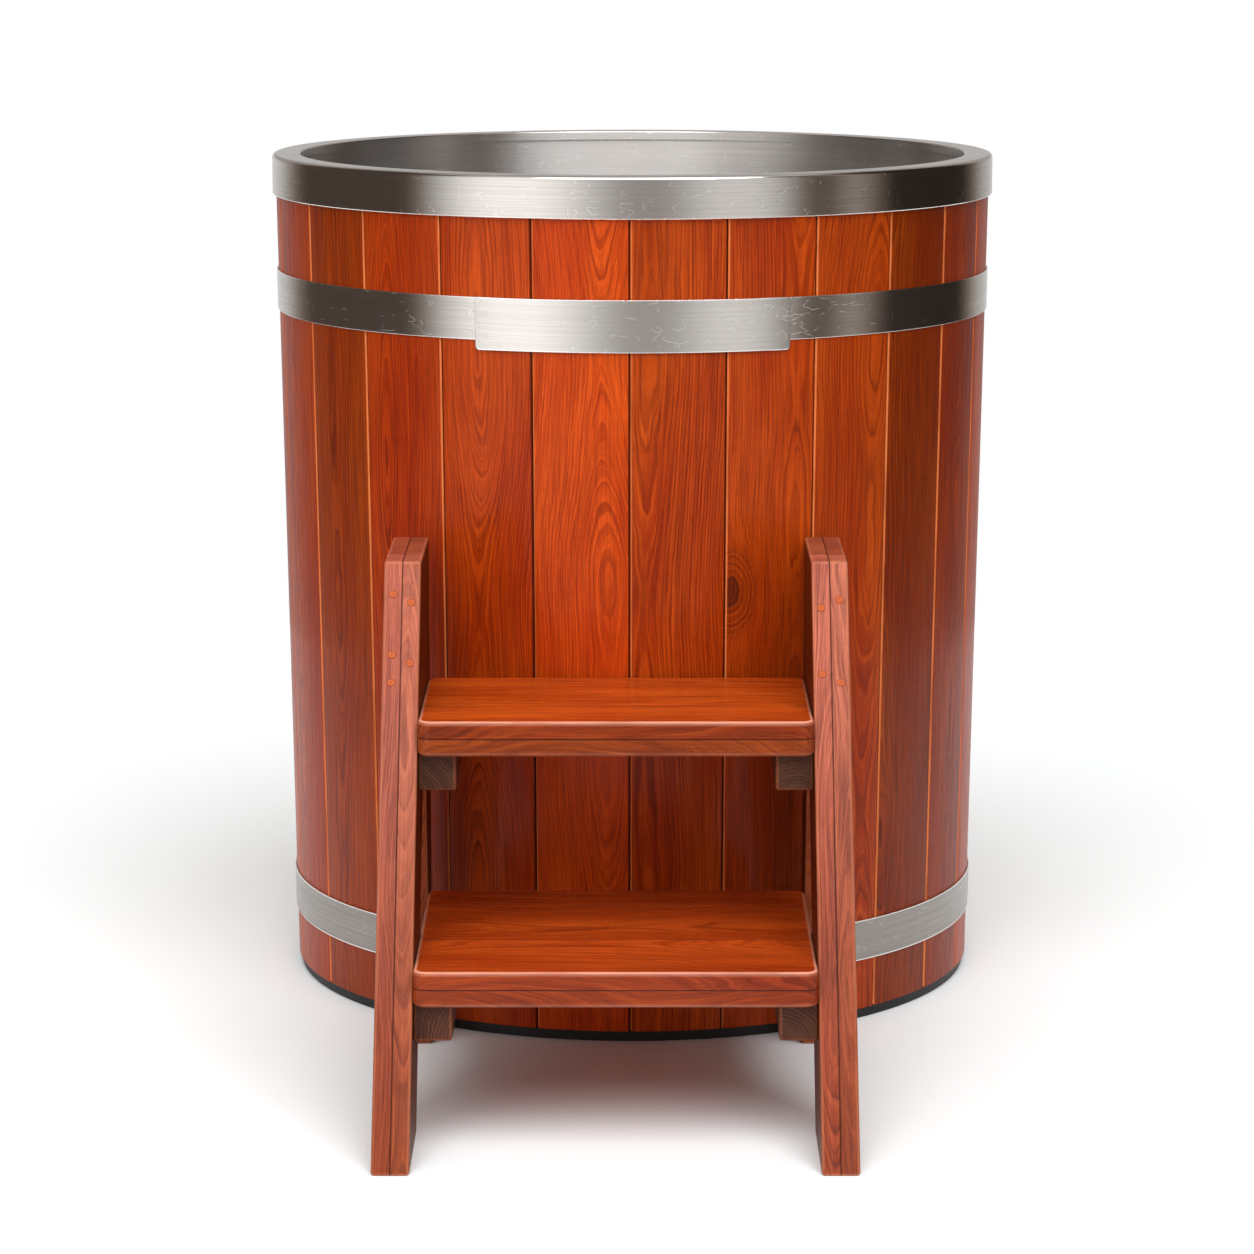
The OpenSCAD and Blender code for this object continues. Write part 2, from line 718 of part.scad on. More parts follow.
// A tread: rounded corners seen from above, and eased long edges
module tread(top_z, back_y) {
    front_y = tread_front_y(top_z);
    depth = back_y - front_y;
    mid_y = (front_y + back_y) / 2;
    color(wood_tread) difference() {
        intersection() {
            translate([step_x, mid_y, top_z - tread_t])
                eased_bar(inner_w, depth, tread_t, tread_corner);
            translate([step_x - inner_w / 2, mid_y, top_z - tread_t / 2]) rotate([0, 90, 0])
                eased_bar(tread_t, depth, inner_w, ease_r);
        }
        tread_screw_places(top_z, back_y)
            cylinder(d = screw_d + shank_fit, h = bearer_s + tread_bite + 1);
    }
}

// The four screws that hold a tread, from the bearers' undersides upwards
module tread_screw_places(top_z, back_y) {
    front_y = tread_front_y(top_z) + bearer_back;
    for (side = [-1, 1], y = [front_y + tread_screw, back_y - tread_screw])
        translate([bearer_x(side), y, top_z - tread_t - bearer_s]) children();
}

function bearer_x(side) = step_x + side * (inner_w - bearer_s) / 2;

module bearer(side, top_z, back_y) {
    front_y = tread_front_y(top_z) + bearer_back;
    length = bearer_back_y - front_y;
    color(wood_dark) difference() {
        translate([bearer_x(side), front_y, bearer_z(top_z)]) rotate([-90, 0, 0])
            eased_bar(bearer_s, bearer_s, length, ease_r);
        tread_screw_places(top_z, back_y) {
            translate([0, 0, -over]) cylinder(d = screw_d + shank_fit, h = bearer_s + 2 * over);
            translate([0, 0, -over]) cylinder(d = screw_head_d + shank_fit, h = over + head_sink + screw_head_h);
        }
        for (y = [leg_screw_y(top_z), post_screw_y(top_z)])
            translate([bearer_x(side) - side * bearer_s / 2, y, bearer_z(top_z)])
                rotate([0, side * 90, 0]) {
                    translate([0, 0, -over]) cylinder(d = screw_d + shank_fit, h = bearer_s + 2 * over);
                    translate([0, 0, -over])
                        cylinder(d = screw_head_d + shank_fit, h = over + head_sink + screw_head_h);
                }
    }
}

// Round plugs, cut flush with the sloping face of the leg
module leg_plugs() {
    color(wood_tread) for (side = [-1, 1]) difference() {
        at_plugs(side) translate([0, 0, -plug_d]) cylinder(d = plug_d, h = plug_d + plug_l);
        translate([frame_x(side), foot_y, 0]) rotate([-leg_lean, 0, 0])
            translate([-timber_t, -timber_w, -timber_w]) cube([2 * timber_t, timber_w, 2 * step_h]);
    }
}

// A wood screw along +Z: its head starts at z = 0
module screw(length) {
    cylinder(d = screw_head_d, h = screw_head_h);
    translate([0, 0, screw_head_h]) cylinder(d = screw_d, h = length - screw_head_h);
}

module step_screws() {
    color(steel) {
        for (side = [-1, 1]) {
            for (p = plugs_of(side))
                translate([plug_x(side, p[0]), post_front_y - screw_grip - screw_head_h, step_h - p[1]])
                    rotate([-90, 0, 0]) screw(screw_head_h + screw_grip + screw_bite);
            for (top_z = [lower_tread_z, upper_tread_z], y = [leg_screw_y(top_z), post_screw_y(top_z)])
                translate([bearer_x(side) - side * (bearer_s / 2 - head_sink), y, bearer_z(top_z)])
                    rotate([0, side * 90, 0]) screw(bearer_s - head_sink + bearer_bite);
        }
        tread_screw_places(lower_tread_z, lower_back_y)
            translate([0, 0, head_sink]) screw(bearer_s - head_sink + tread_bite);
        tread_screw_places(upper_tread_z, upper_back_y)
            translate([0, 0, head_sink]) screw(bearer_s - head_sink + tread_bite);
    }
}

base_plate();
floor_joists();
floor_board();
floor_insulation();
wall_insulation();
liner();
rim_ring();
for (i = [1:stave_count]) stave(i);
upper_hoop();
lower_hoop();
name_plate();
hoop_bolts();
hoop_nuts();
drain_flange();
drain_strainer();
drain_locknut();
drain_gasket();
drain_pipe();
valve_body();
valve_ball();
valve_stem();
valve_lever();
lever_nut();
hose_tail();
leg(-1);  // left_leg
leg(1);  // right_leg
post(-1);  // left_post
post(1);  // right_post
tread(upper_tread_z, upper_back_y);  // upper_tread
tread(lower_tread_z, lower_back_y);  // lower_tread
bearer(-1, upper_tread_z, upper_back_y);  // upper_left_bearer
bearer(1, upper_tread_z, upper_back_y);  // upper_right_bearer
bearer(-1, lower_tread_z, lower_back_y);  // lower_left_bearer
bearer(1, lower_tread_z, lower_back_y);  // lower_right_bearer
leg_plugs();
step_screws();
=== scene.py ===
# Coopered cold plunge tub with a two-step stool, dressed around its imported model.
# Lengths are in metres. The tub's axis is Z, the floor is z = 0 and the front is -Y.
import math

import bmesh
import bpy
from mathutils import Matrix, Vector


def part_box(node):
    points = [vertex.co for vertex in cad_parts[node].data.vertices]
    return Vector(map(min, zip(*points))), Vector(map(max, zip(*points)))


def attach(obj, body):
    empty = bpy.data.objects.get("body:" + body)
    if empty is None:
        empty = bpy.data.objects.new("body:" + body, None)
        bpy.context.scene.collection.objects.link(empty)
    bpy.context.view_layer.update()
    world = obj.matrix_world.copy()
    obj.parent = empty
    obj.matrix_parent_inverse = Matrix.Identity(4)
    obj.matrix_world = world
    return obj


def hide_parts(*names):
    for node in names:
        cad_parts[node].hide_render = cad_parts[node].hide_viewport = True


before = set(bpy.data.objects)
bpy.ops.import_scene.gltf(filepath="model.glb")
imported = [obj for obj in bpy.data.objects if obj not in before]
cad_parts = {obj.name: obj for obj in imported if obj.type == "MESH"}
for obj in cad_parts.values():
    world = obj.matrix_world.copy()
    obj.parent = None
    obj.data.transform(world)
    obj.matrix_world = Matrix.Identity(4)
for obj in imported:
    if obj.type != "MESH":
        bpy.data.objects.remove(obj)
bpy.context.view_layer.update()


# Camera: a long lens 5.4 m in front of the tub and 1.45 m above the floor, looking a
# little down, which keeps the tub's sides close to upright.
camera_place = (-0.007, -5.444, 1.445)
camera_pitch = 10.36
camera_lens = 117.56
camera_sensor = 36

bpy.ops.object.camera_add(location=camera_place, rotation=(math.radians(90 - camera_pitch), 0, 0))
camera = bpy.context.object
camera.data.lens = camera_lens
camera.data.sensor_width = camera_sensor
bpy.context.scene.camera = camera


# Base plate: a black plastic disc that keeps the wood off the wet floor. It is turned
# from sheet, stands a little back under the staves, and has eased edges.
base_plate_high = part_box("base_plate")[1]
base_edge = 0.0015
base_colour = (0.006, 0.006, 0.005, 1)
base_rubbed = (0.012, 0.011, 0.010, 1)
base_rough = 0.48
plastic_rubs = (14, 14, 14)
plastic_grain = (1500, 1500, 1500)
plastic_relief = 0.0001
smooth_angle = math.radians(32)
merge_gap = 0.00002


def fresh():
    """Object mode with nothing selected."""
    if bpy.context.mode != "OBJECT":
        bpy.ops.object.mode_set(mode="OBJECT")
    bpy.ops.object.select_all(action="DESELECT")


def chosen(piece):
    """Makes one piece the only selected and active one."""
    fresh()
    piece.select_set(True)
    bpy.context.view_layer.objects.active = piece


def opened(piece):
    """Edit mode with all of one piece selected."""
    chosen(piece)
    bpy.ops.object.mode_set(mode="EDIT")
    bpy.ops.mesh.select_all(action="SELECT")


def shaded(piece):
    """Smooth shading across all but the sharp edges, with the broad faces kept flat."""
    chosen(piece)
    bpy.ops.object.shade_smooth_by_angle(angle=smooth_angle)
    even = piece.modifiers.new("even", "WEIGHTED_NORMAL")
    even.keep_sharp = True
    bpy.ops.object.modifier_apply(modifier="even")
    return piece


def turned(name, outline, steps=180, caps=False):
    """A round piece about Z: a circle, extruded and scaled along its outline of (radius, height).
    With caps both its ends are closed, and without them the outline ends where it began."""
    fresh()
    radius, height = outline[0]
    bpy.ops.mesh.primitive_circle_add(vertices=steps, radius=radius, location=(0, 0, height))
    piece = bpy.context.object
    piece.name = name
    bpy.ops.object.transform_apply(location=True, rotation=True, scale=True)
    opened(piece)
    if caps:
        bpy.ops.mesh.edge_face_add()
    for (radius, height), (next_radius, next_height) in zip(outline, outline[1:]):
        grow = next_radius / radius
        bpy.ops.mesh.extrude_region_move(
            TRANSFORM_OT_translate={"value": (0, 0, next_height - height)})
        bpy.ops.transform.resize(value=(grow, grow, 1), center_override=(0, 0, 0))
    bpy.ops.mesh.select_all(action="SELECT")
    bpy.ops.mesh.remove_doubles(threshold=merge_gap)
    bpy.ops.mesh.normals_make_consistent(inside=False)
    bpy.ops.object.mode_set(mode="OBJECT")
    return shaded(piece)


def shader_node(tree, kind, inputs=(), **settings):
    """A shader node with its settings, and its inputs as values or as other nodes' outputs."""
    made = tree.nodes.new(kind)
    for setting, value in settings.items():
        setattr(made, setting, value)
    for socket, value in dict(inputs).items():
        if isinstance(value, bpy.types.NodeSocket):
            tree.links.new(value, made.inputs[socket])
        else:
            made.inputs[socket].default_value = value
    return made


def maths(tree, operation, *values):
    """The result of one Math node."""
    return shader_node(tree, "ShaderNodeMath", enumerate(values), operation=operation).outputs[0]


def vectors(tree, operation, first, second, result="Vector"):
    """The result of one Vector Math node."""
    made = shader_node(tree, "ShaderNodeVectorMath", {0: first, 1: second}, operation=operation)
    return made.outputs[result]


def fade(tree, value, low, high, start=0.0, end=1.0):
    """Start below low, end above high, and a smooth change between them."""
    made = shader_node(
        tree, "ShaderNodeMapRange",
        {"Value": value, "From Min": low, "From Max": high, "To Min": start, "To Max": end},
        interpolation_type="SMOOTHSTEP")
    return made.outputs["Result"]


def mixed(tree, share, first, second):
    """Two colours mixed, the second with the given share."""
    made = shader_node(tree, "ShaderNodeMix", {0: share, 6: first, 7: second}, data_type="RGBA")
    return made.outputs[2]


def cloud(tree, place, stretch, detail=2.0):
    """Noise from 0 to 1, with this many patches to the metre along X, Y and Z."""
    scaled = vectors(tree, "MULTIPLY", place, stretch)
    made = shader_node(
        tree, "ShaderNodeTexNoise", {"Vector": scaled, "Scale": 1.0, "Detail": detail})
    return made.outputs["Fac"]


def finish(name, **sockets):
    """A material whose fixed values sit on the shader's own sockets.
    Returns the material, its node tree and its shader."""
    material = bpy.data.materials.new(name)
    material.use_nodes = True
    shader = material.node_tree.nodes["Principled BSDF"]
    for socket, value in sockets.items():
        shader.inputs[socket.replace("_", " ").title().replace("Ior", "IOR")].default_value = value
    return material, material.node_tree, shader


def wire(tree, shader, colour, roughness=None, height=None, depth=0.0003):
    """Connects a colour, and where given a roughness and a relief, to the shader."""
    tree.links.new(colour, shader.inputs["Base Color"])
    if roughness is not None:
        tree.links.new(roughness, shader.inputs["Roughness"])
    if height is not None:
        bump = shader_node(tree, "ShaderNodeBump", {"Height": height, "Distance": depth})
        tree.links.new(bump.outputs[0], shader.inputs["Normal"])


def own_place(tree):
    """The object's own coordinates."""
    return shader_node(tree, "ShaderNodeTexCoord").outputs["Object"]


def fit_out(piece, material, body, slot, *nodes):
    """Gives a finished piece its material, and says what it rides on and stands for."""
    piece.data.materials.clear()
    piece.data.materials.append(material)
    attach(piece, body)
    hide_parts(*nodes)


def moulded_plastic(name, colour, worn_and_highlight, roughness):
    """Dull plastic with a fine grain and paler rubbed places."""
    material, tree, shader = finish(name, specular_ior_level=0.4)
    place = own_place(tree)
    rub_and_highlight = fade(tree, cloud(tree, place, plastic_rubs, 4), 0.5, 0.75)
    grain = cloud(tree, place, plastic_grain, 1)
    rough = fade(tree, grain, 0.2, 0.8, roughness - 0.06, roughness + 0.08)
    wire(tree, shader, mixed(tree, rub_and_highlight, colour, worn_and_highlight), rough, grain, plastic_relief)
    return material


base_black = moulded_plastic("base_black", base_colour, base_rubbed, base_rough)
base_radius = base_plate_high.x
base_plate = turned("base_plate_disc", [
    (base_radius - base_edge, 0), (base_radius, base_edge),
    (base_radius, base_plate_high.z - base_edge), (base_radius - base_edge, base_plate_high.z),
], caps=True)
fit_out(base_plate, base_black, "tub", "black_plastic", "base_plate")


# Floor inside: pine joists on the base plate, a board over them and white foam under and
# behind the liner. They are closed in for good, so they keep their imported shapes.
pine_pale = (0.58, 0.40, 0.22, 1)
pine_brown = (0.34, 0.19, 0.08, 1)
pine_rings = (120, 3, 60)
pine_fibres = (900, 25, 900)
foam_shade = (0.80, 0.80, 0.76, 1)
foam_white = (0.90, 0.90, 0.88, 1)
foam_patches = (8, 8, 8)
foam_cells = 420.0
foam_relief = 0.0006


def sawn_pine(name):
    """Plain sawn pine: straight pale and brown grain along Y."""
    material, tree, shader = finish(name, specular_ior_level=0.25)
    place = own_place(tree)
    rings = fade(tree, cloud(tree, place, pine_rings, 3), 0.42, 0.62)
    fibre = cloud(tree, place, pine_fibres, 2)
    rough = fade(tree, fibre, 0.3, 0.7, 0.62, 0.8)
    wire(tree, shader, mixed(tree, rings, pine_pale, pine_brown), rough, fibre)
    return material


def closed_foam(name):
    """White closed-cell foam with its small cells."""
    material, tree, shader = finish(name, roughness=0.9, specular_ior_level=0.2)
    place = own_place(tree)
    cells = shader_node(tree, "ShaderNodeTexVoronoi", {"Vector": place, "Scale": foam_cells})
    colour = mixed(tree, cloud(tree, place, foam_patches), foam_shade, foam_white)
    wire(tree, shader, colour, None, cells.outputs["Distance"], foam_relief)
    return material


def repaint(material, *names):
    """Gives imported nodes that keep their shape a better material."""
    for name in names:
        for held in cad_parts[name].material_slots:
            held.material = material


repaint(sawn_pine("sawn_pine"), "floor_joists", "floor_board")
repaint(closed_foam("closed_foam"), "floor_insulation", "wall_insulation")


# Staves: 25 boards of red-brown hardwood, a little narrower at the foot, planed round on
# the outside with eased edges, stained and varnished. The hoops press them together.
stave_count = 25
stave_r = 0.471
stave_t = 0.022
wall_taper = 0.017
stave_swing = 3.6
stave_phase = 60
stave_turn = -0.4
stave_ease = 0.003
stave_cuts = 9
stave_end = 0.002
arris_w = 0.0022
cut_slack = 0.00001
# Bearing of the light, in degrees from the front: at each joint the eased edge turned towards it gets a
# painted highlight, the other painted shade.
highlight_bearing = -24
wood_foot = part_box("stave_01")[0].z
wood_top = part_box("stave_01")[1].z
stave_pale = (0.58, 0.068, 0.004, 1)
stave_rich = (0.42, 0.031, 0.001, 1)
stave_dark = (0.10, 0.006, 0.001, 1)
# Colour of the painted highlight on the staves' eased edges.
stave_highlight = (0.92, 0.24, 0.07, 1)
stave_knots = [(2, -0.0525, 0.5755, 0.026)]  # board, place across and along it, radius
# Tones of the front staves, listed one by one: each board's own tone together with painted shade,
# darker towards the sides of the front.
stave_tones_and_shading = {
    21: 0.72, 22: 0.57, 23: 0.76, 24: 0.90, 25: 1.08, 1: 0.85, 2: 0.80, 3: 0.74, 4: 0.46, 5: 0.52}
stave_tone_low = 0.72
stave_tone_span = 0.24
stave_tone_step = 7


def wall_radius(z):
    """Outer radius of the wooden wall at a height."""
    return stave_r - wall_taper * (wood_top - z) / (wood_top - wood_foot)


def round_the_tub(angle, radius, z):
    """The point at an angle from the front towards +X, a distance from the axis and a height."""
    return Vector((radius * math.sin(angle), -radius * math.cos(angle), z))


def joint_angle(number):
    """Angle of a joint between staves, in degrees from the front towards +X. The swing makes some
    staves wider than others."""
    even = number * 360 / stave_count
    wave = math.sin(math.radians(even + stave_phase)) - math.sin(math.radians(stave_phase))
    return even + stave_swing * wave + stave_turn


def block(name, low, high):
    """A cube between two corners, its place in its mesh."""
    fresh()
    low, high = Vector(low), Vector(high)
    bpy.ops.mesh.primitive_cube_add(size=1, location=(low + high) / 2)
    piece = bpy.context.object
    piece.name = name
    piece.scale = high - low
    bpy.ops.object.transform_apply(location=True, rotation=True, scale=True)
    return piece


def edges_where(piece, wanted):
    """Edit mode with the edges selected for which wanted(first corner, second corner) holds."""
    chosen(piece)
    bpy.ops.object.mode_set(mode="EDIT")
    bpy.ops.mesh.select_mode(type="EDGE")
    bpy.ops.mesh.select_all(action="DESELECT")
    shape = bmesh.from_edit_mesh(piece.data)
    for edge in shape.edges:
        edge.select = wanted(edge.verts[0].co, edge.verts[1].co)
    shape.select_flush_mode()
    bmesh.update_edit_mesh(piece.data)


def bent(piece, where):
    """Moves each point of a piece to where(point)."""
    for corner in piece.data.vertices:
        corner.co = where(corner.co)
    piece.data.update()


def mark_grain(piece, number, board_place, tone_and_shading, edge_rub_and_highlight=lambda place: 1.0):
    """Keeps each point's place in its board (across, through, along), the board's number, its tone with
    painted light and shade laid in, and how pale its eased edges are painted, as wear and as a painted
    highlight. tone_and_shading and edge_rub_and_highlight are functions of the place in the board."""
    shape = bmesh.new()
    shape.from_mesh(piece.data)
    strips = {
        face for face in shape.faces
        if face.calc_area() < arris_w * max(edge.calc_length() for edge in face.edges)}
    eased = [strips.issuperset(corner.link_faces) for corner in shape.verts]
    shape.free()
    kept = {"grain": "FLOAT_VECTOR", "board": "FLOAT", "tone_and_shading": "FLOAT", "rub_and_highlight": "FLOAT"}
    for name, kind in kept.items():
        piece.data.attributes.new(name, kind, "POINT")
    places, numbers, tones_and_shading, rubs_and_highlights = (piece.data.attributes[name].data for name in kept)
    for corner in piece.data.vertices:
        place = board_place(corner.co)
        places[corner.index].vector = place
        numbers[corner.index].value = number
        tones_and_shading[corner.index].value = tone_and_shading(place)
        if eased[corner.index]:
            rubs_and_highlights[corner.index].value = edge_rub_and_highlight(place)


def strengthened(colour, *gains):
    """A colour with its parts multiplied."""
    return tuple(min(1.0, part * gain) for part, gain in zip(colour, gains)) + (1.0,)


# The wood's figure: how the rings lie, in metres, and the patterns in them as patches to the
# metre across, through and along a board, with their detail and the levels they fade between.
layer_steps = (3.7, 5.3)
seam_line = (0.0003, 0.0010)
board_spread = (9.0, 9.0, 9.0)
pith_aside = 0.11
pith_behind = 0.012
pith_deeper = 0.030
pith_drift = 0.05
drift_patches = (2.5, 2.5, 1.5)
ring_waves = (((0.4, 0.4, 2.1), 1, 19.0), ((22, 22, 4.5), 2, 2.6), ((95, 95, 17), 1, 0.55))
wood_patterns = {
    "strength": ((13, 13, 1.7), 2, 0.30, 0.68),
    "fibre": ((420, 420, 6), 3, 0.40, 0.66),
    "pores": ((1300, 1300, 38), 1, 0.60, 0.74),
    "tone_and_shading": ((15, 15, 2.6), 3, 0.34, 0.66),
    "edge_rub_and_highlight": ((60, 60, 14), 2, 0.30, 0.55),
}
late_rise = 4.5
late_fall = 9.0
early_fall = 3.0
flame_gains = (1.45, 1.75, 1.9)
heart_gains = (0.8, 2.5, 6.0)
stain_and_shade_gains = (0.22, 0.25, 0.3)
streak_patches = (2.7, 9, 8)
streak_dark = (0.36, 0.49)
streak_light = (0.52, 0.68)
ripple_patches = (26, 26, 190)
ripple_gain = 0.14
board_gain = 0.12
hue_low = 0.497
hue_spread = 0.008
groove_soft = 0.0005
fibre_rough = 0.10

# A knot: its length over its width, its wavy outline, the rings that it pushes aside and holds,
# and the distances, in its own radii, over which its core, its rings and its shade fade out.
knot_long = 1.6
knot_patches = (45, 45, 30)
knot_wave = 0.35
knot_push = 5.0
knot_rings = 4.6
knot_first_ring = 0.2
knot_push_fade = (0.6, 2.6)
knot_ring_fade = (1.38, 1.42)
knot_core_fade = (0.55, 0.72)
knot_shade_fade = (1.2, 1.9)


def split_up(tree, vector):
    """The three parts of a vector."""
    return shader_node(tree, "ShaderNodeSeparateXYZ", {0: vector}).outputs


def slant_length(tree, first, second):
    """The distance that two lengths at right angles to each other make up."""
    squares = [maths(tree, "MULTIPLY", part, part) for part in (first, second)]
    return maths(tree, "SQRT", maths(tree, "ADD", *squares))


def covered(tree, colour, *layers):
    """A colour with others laid over it, each given as where it lies, how dense and which colour."""
    for where, share, other in layers:
        colour = mixed(tree, maths(tree, "MULTIPLY", where, share), colour, other)
    return colour


def varnished_wood(name, pale, rich, dark, worn_and_highlight, ring_gap, roughness, gloss, coat, wear_and_highlight,
                   across=(1.0, 0.5), through=(1.0, 0.5), grooved=False, knots=(), relief=0.0005,
                   tilt=0.0, sheen_saturation=1.0):
    """Stained wood under varnish: growth rings round a pith, streaks that follow them, fibres, pores,
    slow changes of tone with painted light and shade laid into it, and paler eased edges, partly wear
    and partly a painted highlight. across and through are the width of glued layers and their shift,
    in widths. Grooved wood is dark in its joints, with painted shade across the eased edge turned from
    the light, tilt slants the rings, and sheen_saturation is the saturation where the tone is high:
    a painted sheen."""
    material, tree, shader = finish(
        name, coat_weight=coat, coat_roughness=0.12, coat_ior=1.4, specular_ior_level=gloss)
    place = shader_node(tree, "ShaderNodeAttribute", attribute_name="grain").outputs["Vector"]
    number, board_tone_and_shading, rub_and_highlight = (
        shader_node(tree, "ShaderNodeAttribute", attribute_name=kept).outputs["Fac"]
        for kept in ("board", "tone_and_shading", "rub_and_highlight"))
    split = split_up(tree, place)
    seam = 0.0
    for axis, (width, shift) in enumerate((across, through)):
        layer = maths(tree, "MULTIPLY_ADD", split[axis], 1 / width, shift)
        number = maths(tree, "MULTIPLY_ADD", maths(tree, "FLOOR", layer), layer_steps[axis], number)
        if width < 1:
            away = maths(tree, "PINGPONG", layer, 0.5)
            low, high = (reach / width for reach in seam_line)
            seam = maths(tree, "MAXIMUM", seam, fade(tree, away, low, high, 1, 0))
    chance = shader_node(
        tree, "ShaderNodeTexWhiteNoise", {"W": number}, noise_dimensions="1D").outputs["Color"]
    lots = split_up(tree, chance)
    there = vectors(tree, "ADD", place, vectors(tree, "MULTIPLY", chance, board_spread))

    def pattern(kind, start=0.0, end=1.0):
        """One of the wood's patterns, faded in from start to end."""
        patches, detail, low, high = wood_patterns[kind]
        return fade(tree, cloud(tree, there, patches, detail), low, high, start, end)

    pith = maths(tree, "MULTIPLY_ADD", lots[0], pith_aside, -pith_aside / 2)
    drift = cloud(tree, there, drift_patches, 1)
    side = maths(tree, "SUBTRACT", split[0], pith)
    side = maths(tree, "ADD", side, maths(tree, "MULTIPLY_ADD", drift, pith_drift, -pith_drift / 2))
    side = maths(tree, "MULTIPLY_ADD", split[1], tilt, side)
    deep = maths(tree, "MULTIPLY_ADD", lots[1], pith_deeper, pith_behind)
    deep = maths(tree, "ADD", split[1], deep)
    ring = maths(tree, "DIVIDE", slant_length(tree, side, deep), ring_gap)
    for patches, detail, rings in ring_waves:
        ring = maths(tree, "MULTIPLY_ADD", cloud(tree, there, patches, detail), rings, ring)
    core = 0.0
    around = 0.0
    for board, knot_x, knot_z, knot_r in knots:
        here = maths(tree, "COMPARE", number, float(board), 0.2)
        gone_x = maths(tree, "DIVIDE", maths(tree, "SUBTRACT", split[0], knot_x), knot_r)
        gone_z = maths(tree, "DIVIDE", maths(tree, "SUBTRACT", split[2], knot_z), knot_r * knot_long)
        away = slant_length(tree, gone_x, gone_z)
        away = maths(tree, "MULTIPLY_ADD", cloud(tree, place, knot_patches), knot_wave, away)
        pushed, inside, heart, shade = (
            maths(tree, "MULTIPLY", here, fade(tree, away, low, high, 1, 0))
            for low, high in (knot_push_fade, knot_ring_fade, knot_core_fade, knot_shade_fade))
        ring = maths(tree, "MULTIPLY_ADD", pushed, knot_push, ring)
        knot_ring = maths(tree, "MULTIPLY_ADD", away, knot_rings, knot_first_ring)
        ring = maths(tree, "MULTIPLY_ADD", inside, maths(tree, "SUBTRACT", knot_ring, ring), ring)
        core = maths(tree, "MAXIMUM", core, heart)
        around = maths(tree, "MAXIMUM", around, shade)
    part = maths(tree, "FRACT", ring)
    rest = maths(tree, "SUBTRACT", 1.0, part)
    strength = maths(tree, "MAXIMUM", pattern("strength", 0.3, 1.0), around)
    late = maths(tree, "POWER", part, late_rise)
    late = maths(tree, "MINIMUM", late, maths(tree, "MULTIPLY", rest, late_fall))
    late = maths(tree, "MULTIPLY", late, strength)
    early = maths(tree, "MULTIPLY", maths(tree, "POWER", rest, early_fall), strength)

    flow = shader_node(tree, "ShaderNodeCombineXYZ", {0: ring, 1: lots[0], 2: split[2]}).outputs[0]
    streak = cloud(tree, flow, streak_patches, 3)
    dark_streak = fade(tree, streak, *streak_dark, 1, 0)
    light_streak = fade(tree, streak, *streak_light)
    fibre = pattern("fibre")
    pores = pattern("pores")
    flame = strengthened(pale, *flame_gains)
    colour = covered(
        tree, mixed(tree, pattern("tone_and_shading"), pale, rich),
        (early, 0.36, flame), (light_streak, 0.36, flame), (late, 0.70, dark),
        (dark_streak, 0.40, dark), (fibre, 0.22, dark), (pores, 0.30, dark),
        (core, 0.75, strengthened(dark, *heart_gains)), (around, 0.30, dark))
    ripple = cloud(tree, there, ripple_patches, 1)
    ripple = maths(tree, "MULTIPLY_ADD", ripple, ripple_gain, 1 - ripple_gain / 2)
    level = maths(tree, "MULTIPLY_ADD", lots[2], board_gain, 1 - board_gain / 2)
    # The board's tone carries the painted light and shade given to each piece.
    level = maths(tree, "MULTIPLY", maths(tree, "MULTIPLY", board_tone_and_shading, level), ripple)
    # Paler in hue where the tone is high: a painted sheen on the stool's lit parts.
    colour = shader_node(
        tree, "ShaderNodeHueSaturation",
        {"Hue": maths(tree, "MULTIPLY_ADD", lots[1], hue_spread, hue_low), "Value": level,
         "Saturation": fade(tree, board_tone_and_shading, 0.6, 1.15, 1.0, sheen_saturation), "Color": colour}).outputs[0]
    # Eased edges painted pale: a painted highlight, and on the stool and bearers partly wear.
    bare_and_highlight = maths(tree, "MULTIPLY", rub_and_highlight, pattern("edge_rub_and_highlight", 0.6, 1.0))
    # Dark glue lines and dark stave joints, and on the staves painted shade across the eased edge
    # turned from the light.
    stain_and_shade = seam
    if grooved:
        groove_and_shade = maths(tree, "MULTIPLY_ADD", rub_and_highlight, -arris_w, split[1])
        stain_and_shade = maths(tree, "MAXIMUM", seam, fade(tree, groove_and_shade, 0.0, groove_soft))
    colour = covered(
        tree, colour, (bare_and_highlight, wear_and_highlight, worn_and_highlight), (stain_and_shade, 0.78, strengthened(dark, *stain_and_shade_gains)))

    rough = maths(tree, "MULTIPLY_ADD", fibre, fibre_rough, roughness)
    height = 0.0
    sunk = ((fibre, -0.35), (late, -0.6), (pores, -0.4), (dark_streak, -0.4), (seam, -2.0))
    for where, depth in sunk:
        height = maths(tree, "MULTIPLY_ADD", where, depth, height)
    wire(tree, shader, colour, rough, height, relief)
    return material


